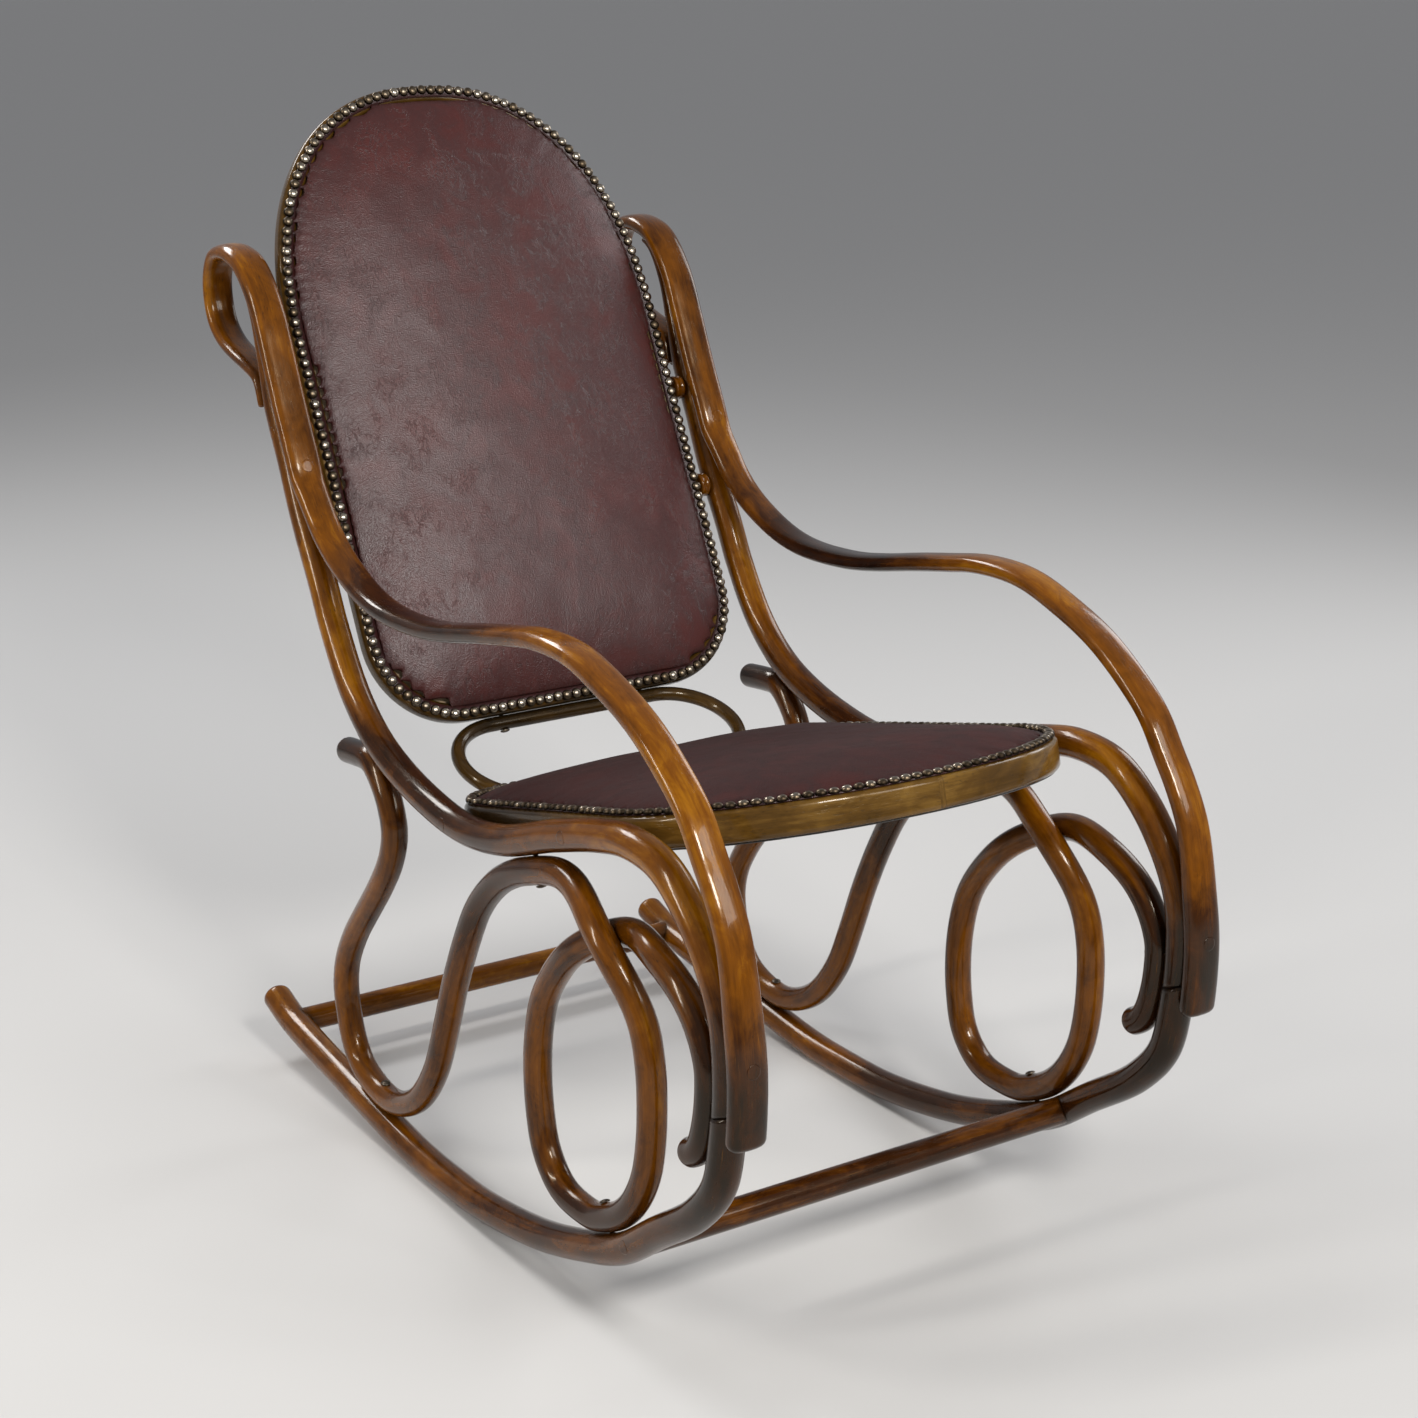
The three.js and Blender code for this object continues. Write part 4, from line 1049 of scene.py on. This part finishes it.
def pad_start(shape, plane, crown):
    """The pad before it swells: a low crowned solid within the nails."""
    edge = Edge(shape)
    start = inset_outline(shape, START_INSET, 8)
    middle = start.mean(0)
    rows = [np.column_stack([start, np.full(len(start), 0.4)])]
    for size in (*np.linspace(1, 0.86, 12), *np.linspace(0.82, 0.06, 16)):
        here = middle + (start - middle) * size
        rise = np.interp(edge.find(here)[0] - START_INSET, *zip(*CROWN_SHARES))
        rows.append(np.column_stack([here, 1.2 + crown * rise]))
    rows = np.array(rows)
    return plane.out(rows.reshape(-1, 3)), skin(rows, False), edge


def swell(obj, plane, pressure):
    """Inflates a remeshed pad with the cloth solver, held along its edge and underside."""
    remesh = obj.modifiers.new("remesh", "REMESH")
    remesh.mode, remesh.voxel_size = "VOXEL", SWELL_VOXEL
    bake_modifiers(obj)
    rest = vertex_places(obj.data)
    height = (rest / MM - DRAWING_TO_ROW - plane.origin) @ plane.up
    group = obj.vertex_groups.new(name="held")
    group.add(np.nonzero(height < HELD_BELOW)[0].tolist(), 1.0, "REPLACE")
    cloth = obj.modifiers.new("cloth", "CLOTH")
    s = cloth.settings
    s.quality, s.mass = 6, 0.4
    s.tension_stiffness = s.compression_stiffness = 12
    s.shear_stiffness, s.bending_stiffness = 5, 0.6
    s.use_pressure, s.uniform_pressure_force = True, pressure
    s.effector_weights.gravity = 0
    s.vertex_group_mass = "held"
    cloth.collision_settings.use_collision = False
    for number in range(1, SWELL_FRAMES + 1):
        scene.frame_set(number)
    done = obj.evaluated_get(bpy.context.evaluated_depsgraph_get()).to_mesh()
    moved = vertex_places(done) - rest
    size = np.linalg.norm(moved, axis=1)[:, None]
    moved *= np.minimum(1, SWELL_MOST * MM / np.maximum(size, 1e-9))
    obj.modifiers.clear()
    obj.data.vertices.foreach_set("co", (rest + moved).ravel())
    scene.frame_set(1)


def leather_pad(prefix, shape, plane, crown, pressure, seed, waves, hide):
    """A pad swollen by the cloth solver, then tucked at its nails and a little slack."""
    places, faces, edge = pad_start(shape, plane, crown)
    obj = piece(prefix + "_pad_leather", places, faces, hide, [prefix + "_pad"], "pad_leather")
    swell(obj, plane, pressure)
    smooth = obj.modifiers.new("smooth", "SMOOTH")
    smooth.factor, smooth.iterations = 0.5, 4
    fine = obj.modifiers.new("fine", "SUBSURF")
    fine.levels = fine.render_levels = 1
    bake_modifiers(obj)
    places = vertex_places(obj.data) / MM - DRAWING_TO_ROW
    local = places - plane.origin
    flat = np.stack([local[:, 0], local @ plane.along], 1)
    height = local @ plane.up
    away, where = edge.find(flat)
    top = np.clip((height - 1.5) / 4, 0, 1)
    # Tucks from nail to nail, fans of pull behind them, and the slack of an old hide
    tuck = -0.55 * np.cos(2 * math.pi * where / NAIL_PITCH) * np.exp(-np.clip(away - 12, 0, 99) / 8)
    pull = smooth_noise(np.stack([where, away * 0.15], 1), 17, seed)
    pull *= 0.5 * np.exp(-np.abs(away - 26) / 26)
    slack = waves * smooth_noise(flat * [1.0, 0.55], 62, seed + 1)
    slack += 0.3 * waves * smooth_noise(flat, 23, seed + 2)
    slack *= np.clip((away - 25) / 60, 0, 1)
    places += np.outer(top * (tuck + pull + slack), plane.up)
    obj.data.vertices.foreach_set("co", ((places + DRAWING_TO_ROW) * MM).ravel())
    near = obj.data.attributes.new("near_nails", "FLOAT", "POINT")
    near.data.foreach_set("value", np.clip(1 - (away - 11) / 16, 0, 1).astype(np.float32))
    obj.data.materials.clear()
    obj.data.materials.append(hide)
    obj.data.shade_smooth()


def leather_edge(name, shape, plane):
    """The hide's flat edge under the nails, with a rounded cut."""
    at, facing, _ = closed_outline(*shape, pitch=3)
    t, inner = EDGE_THICK, EDGE_INNER + 2
    section = [
        (PAD_INSET, 0), (PAD_INSET, 0.6 * t), (PAD_INSET + 0.5, 0.93 * t), (PAD_INSET + 1.2, t),
        (9, t), (inner, t), (inner, 0),
    ]
    rows = [[[*(p - out * inset), EDGE_LEVEL + z] for inset, z in section] for p, out in zip(at, facing)]
    places = plane.out(np.concatenate(rows))
    return piece(name, places, skin(rows, True), LEATHER, near_nails=np.ones(len(places)))


def nail_row(name, shape, plane, base, sign=1, inset=NAIL_INSET):
    """Dome nails that touch, all round an outline, each a little off its place and angle."""
    line = inset_outline(shape, inset, 1.0)
    count = int(round(lengths(np.vstack([line, line[:1]]))[-1] / NAIL_PITCH))
    spots, _, _ = even_loop(line, 0, count)
    turn = np.linspace(0, QUARTER, 6)[:-1]
    profile = [(NAIL_RADIUS - 0.5, -0.5), (NAIL_RADIUS, 0.1)]
    profile += [(NAIL_RADIUS * math.cos(a) ** 0.8, 0.5 + (NAIL_HEIGHT - 0.5) * math.sin(a)) for a in turn]
    profile += [(0.25, NAIL_HEIGHT)]
    dome, faces = lathe(profile, 18)
    places, all_faces, rise, luck = [], [], [], []
    for i, p in enumerate(spots):
        tip = np.array([*rng.normal(0, 0.045, 2), 1.0])
        shaped = aimed(dome * [1, 1, rng.uniform(0.94, 1.05)], [0, 0, 0], tip)
        shaped = shaped * [1, 1, sign] + [*(p + rng.normal(0, 0.22, 2)), base]
        places.append(plane.out(shaped))
        all_faces += [tuple(v + i * len(dome) for v in f[::sign]) for f in faces]
        # The rise drives the nails' painted highlight on top and painted shade at the rim.
        rise.append(np.clip(dome[:, 2] / NAIL_HEIGHT, 0, 1))
        luck.append(np.full(len(dome), rng.uniform(-1, 1)))
    rise, luck = np.concatenate(rise), np.concatenate(luck)
    return piece(name, np.concatenate(places), all_faces, BRASS, rise=rise, luck=luck)


def stretched_sheet(shape):
    """Works out a sheet's cut, the outline less the inset, laid flat in metres; the result is not kept.
    """
    edge = inset_outline(shape, PAD_INSET, 2) * MM


leather_pad("seat", SEAT_SHAPE, SEAT, 20, 4, 11, 0.8, SEAT_LEATHER)
leather_pad("back", BACK_SHAPE, BACK, 24, 4, 23, 1.1, LEATHER)
for prefix, shape, _, plane in UPHOLSTERED:
    leather_edge(prefix + "_leather_edge", shape, plane)
for prefix, shape, _, plane in UPHOLSTERED:
    nail_row(prefix + "_nails_brass", shape, plane, EDGE_LEVEL + EDGE_THICK)


def uneven(p):
    return 1.2 * smooth_noise(p[:, :2], 70, 31) * (p[:, 2] < rear - 0.5) * 0.6


def sagging(p):
    across = np.clip(1 - (p[:, 0] / 190) ** 2, 0, 1)
    return -4.0 * across * np.clip(1 - ((p[:, 1] - 270) / 230) ** 2, 0, 1)


rear = -BACK_RIM[1] - GAP
places, faces = sheet_mesh(BACK_SHAPE, BACK, (rear, rear - COVER), uneven)
calm = np.zeros(len(places))
cover = piece("back_rear_cover_leather", places, faces, LEATHER,
              ["back_rear_cover"], "cover_leather", near_nails=calm)
stretched_sheet(BACK_SHAPE)
nail_row("back_rear_nails_brass", BACK_SHAPE, BACK, rear - COVER, -1, COVER_NAIL_INSET)

under = -SEAT_RIM[1] - GAP
sheet = sheet_mesh(SEAT_SHAPE, SEAT, (under, under - LINING_CLOTH), sagging)
lining = piece("seat_dust_cover_cloth", *sheet, LINING, ["seat_dust_cover"], "dust_cloth")
stretched_sheet(SEAT_SHAPE)


# ---- stage, lights and camera

floor_color = (0.62, 0.61, 0.595)
bpy.ops.mesh.primitive_plane_add(size=160)
floor = bpy.context.object
floor.name = "floor"
paint = Finish("floor_paint", Base_Color=(*floor_color, 1), Roughness=0.85, Specular_IOR_Level=0.2)
floor.data.materials.append(paint.material)

world = bpy.data.worlds.new("studio")
scene.world = world
world.use_nodes = True
sky = world.node_tree.nodes["Background"]
sky.inputs["Color"].default_value = (0.93, 0.95, 1.0, 1)
sky.inputs["Strength"].default_value = 0.32


def softbox(name, place, target, size, watts, color=(1, 1, 1)):
    data = bpy.data.lights.new(name, "AREA")
    data.shape, data.size, data.size_y = "RECTANGLE", *size
    data.energy, data.color = watts, color
    lamp = bpy.data.objects.new(name, data)
    lamp.location = place
    lamp.rotation_mode = "QUATERNION"
    lamp.rotation_quaternion = (Vector(target) - Vector(place)).to_track_quat("-Z", "Y")
    scene.collection.objects.link(lamp)


softbox("key_light", (-0.45, -2.9, 2.6), (0, 0, 0.6), (0.65, 0.65), 76, (1, 0.98, 0.95))
softbox("front_light", (0.95, -2.8, 2.3), (0, 0, 0.6), (1.3, 1.1), 34)
softbox("side_light", (-2.7, 0.2, 1.9), (0, 0, 0.5), (0.25, 1.6), 38, (1, 0.97, 0.92))
softbox("back_light", (-0.6, 2.6, 2.6), (0, 0, 0.5), (1.4, 0.6), 44, (0.97, 0.98, 1))
softbox("far_light", (2.6, 0.5, 1.8), (0, 0, 0.5), (0.9, 1.4), 18, (0.97, 0.98, 1))

# The camera as found from the side frames: its focal length is in the photo's pixels
SENSOR = 36
FOCAL_LENGTH = 2600
PHOTO_WIDTH = 1418
camera_data = bpy.data.cameras.new("camera")
camera_data.sensor_width = SENSOR
camera_data.lens = SENSOR * FOCAL_LENGTH / PHOTO_WIDTH
camera = bpy.data.objects.new("camera", camera_data)
scene.collection.objects.link(camera)
right = Vector((0.839, -0.545, 0)).normalized()
forward = Vector((0.5203, 0.8012, -0.2957)).normalized()
up = right.cross(forward)
turn = Matrix((right, up, -forward)).transposed()
camera.matrix_world = Matrix.Translation((-1.3107, -2.0905, 1.2385)) @ turn.to_4x4()
bpy.context.scene.camera = camera
bpy.context.scene.view_settings.view_transform = "Standard"
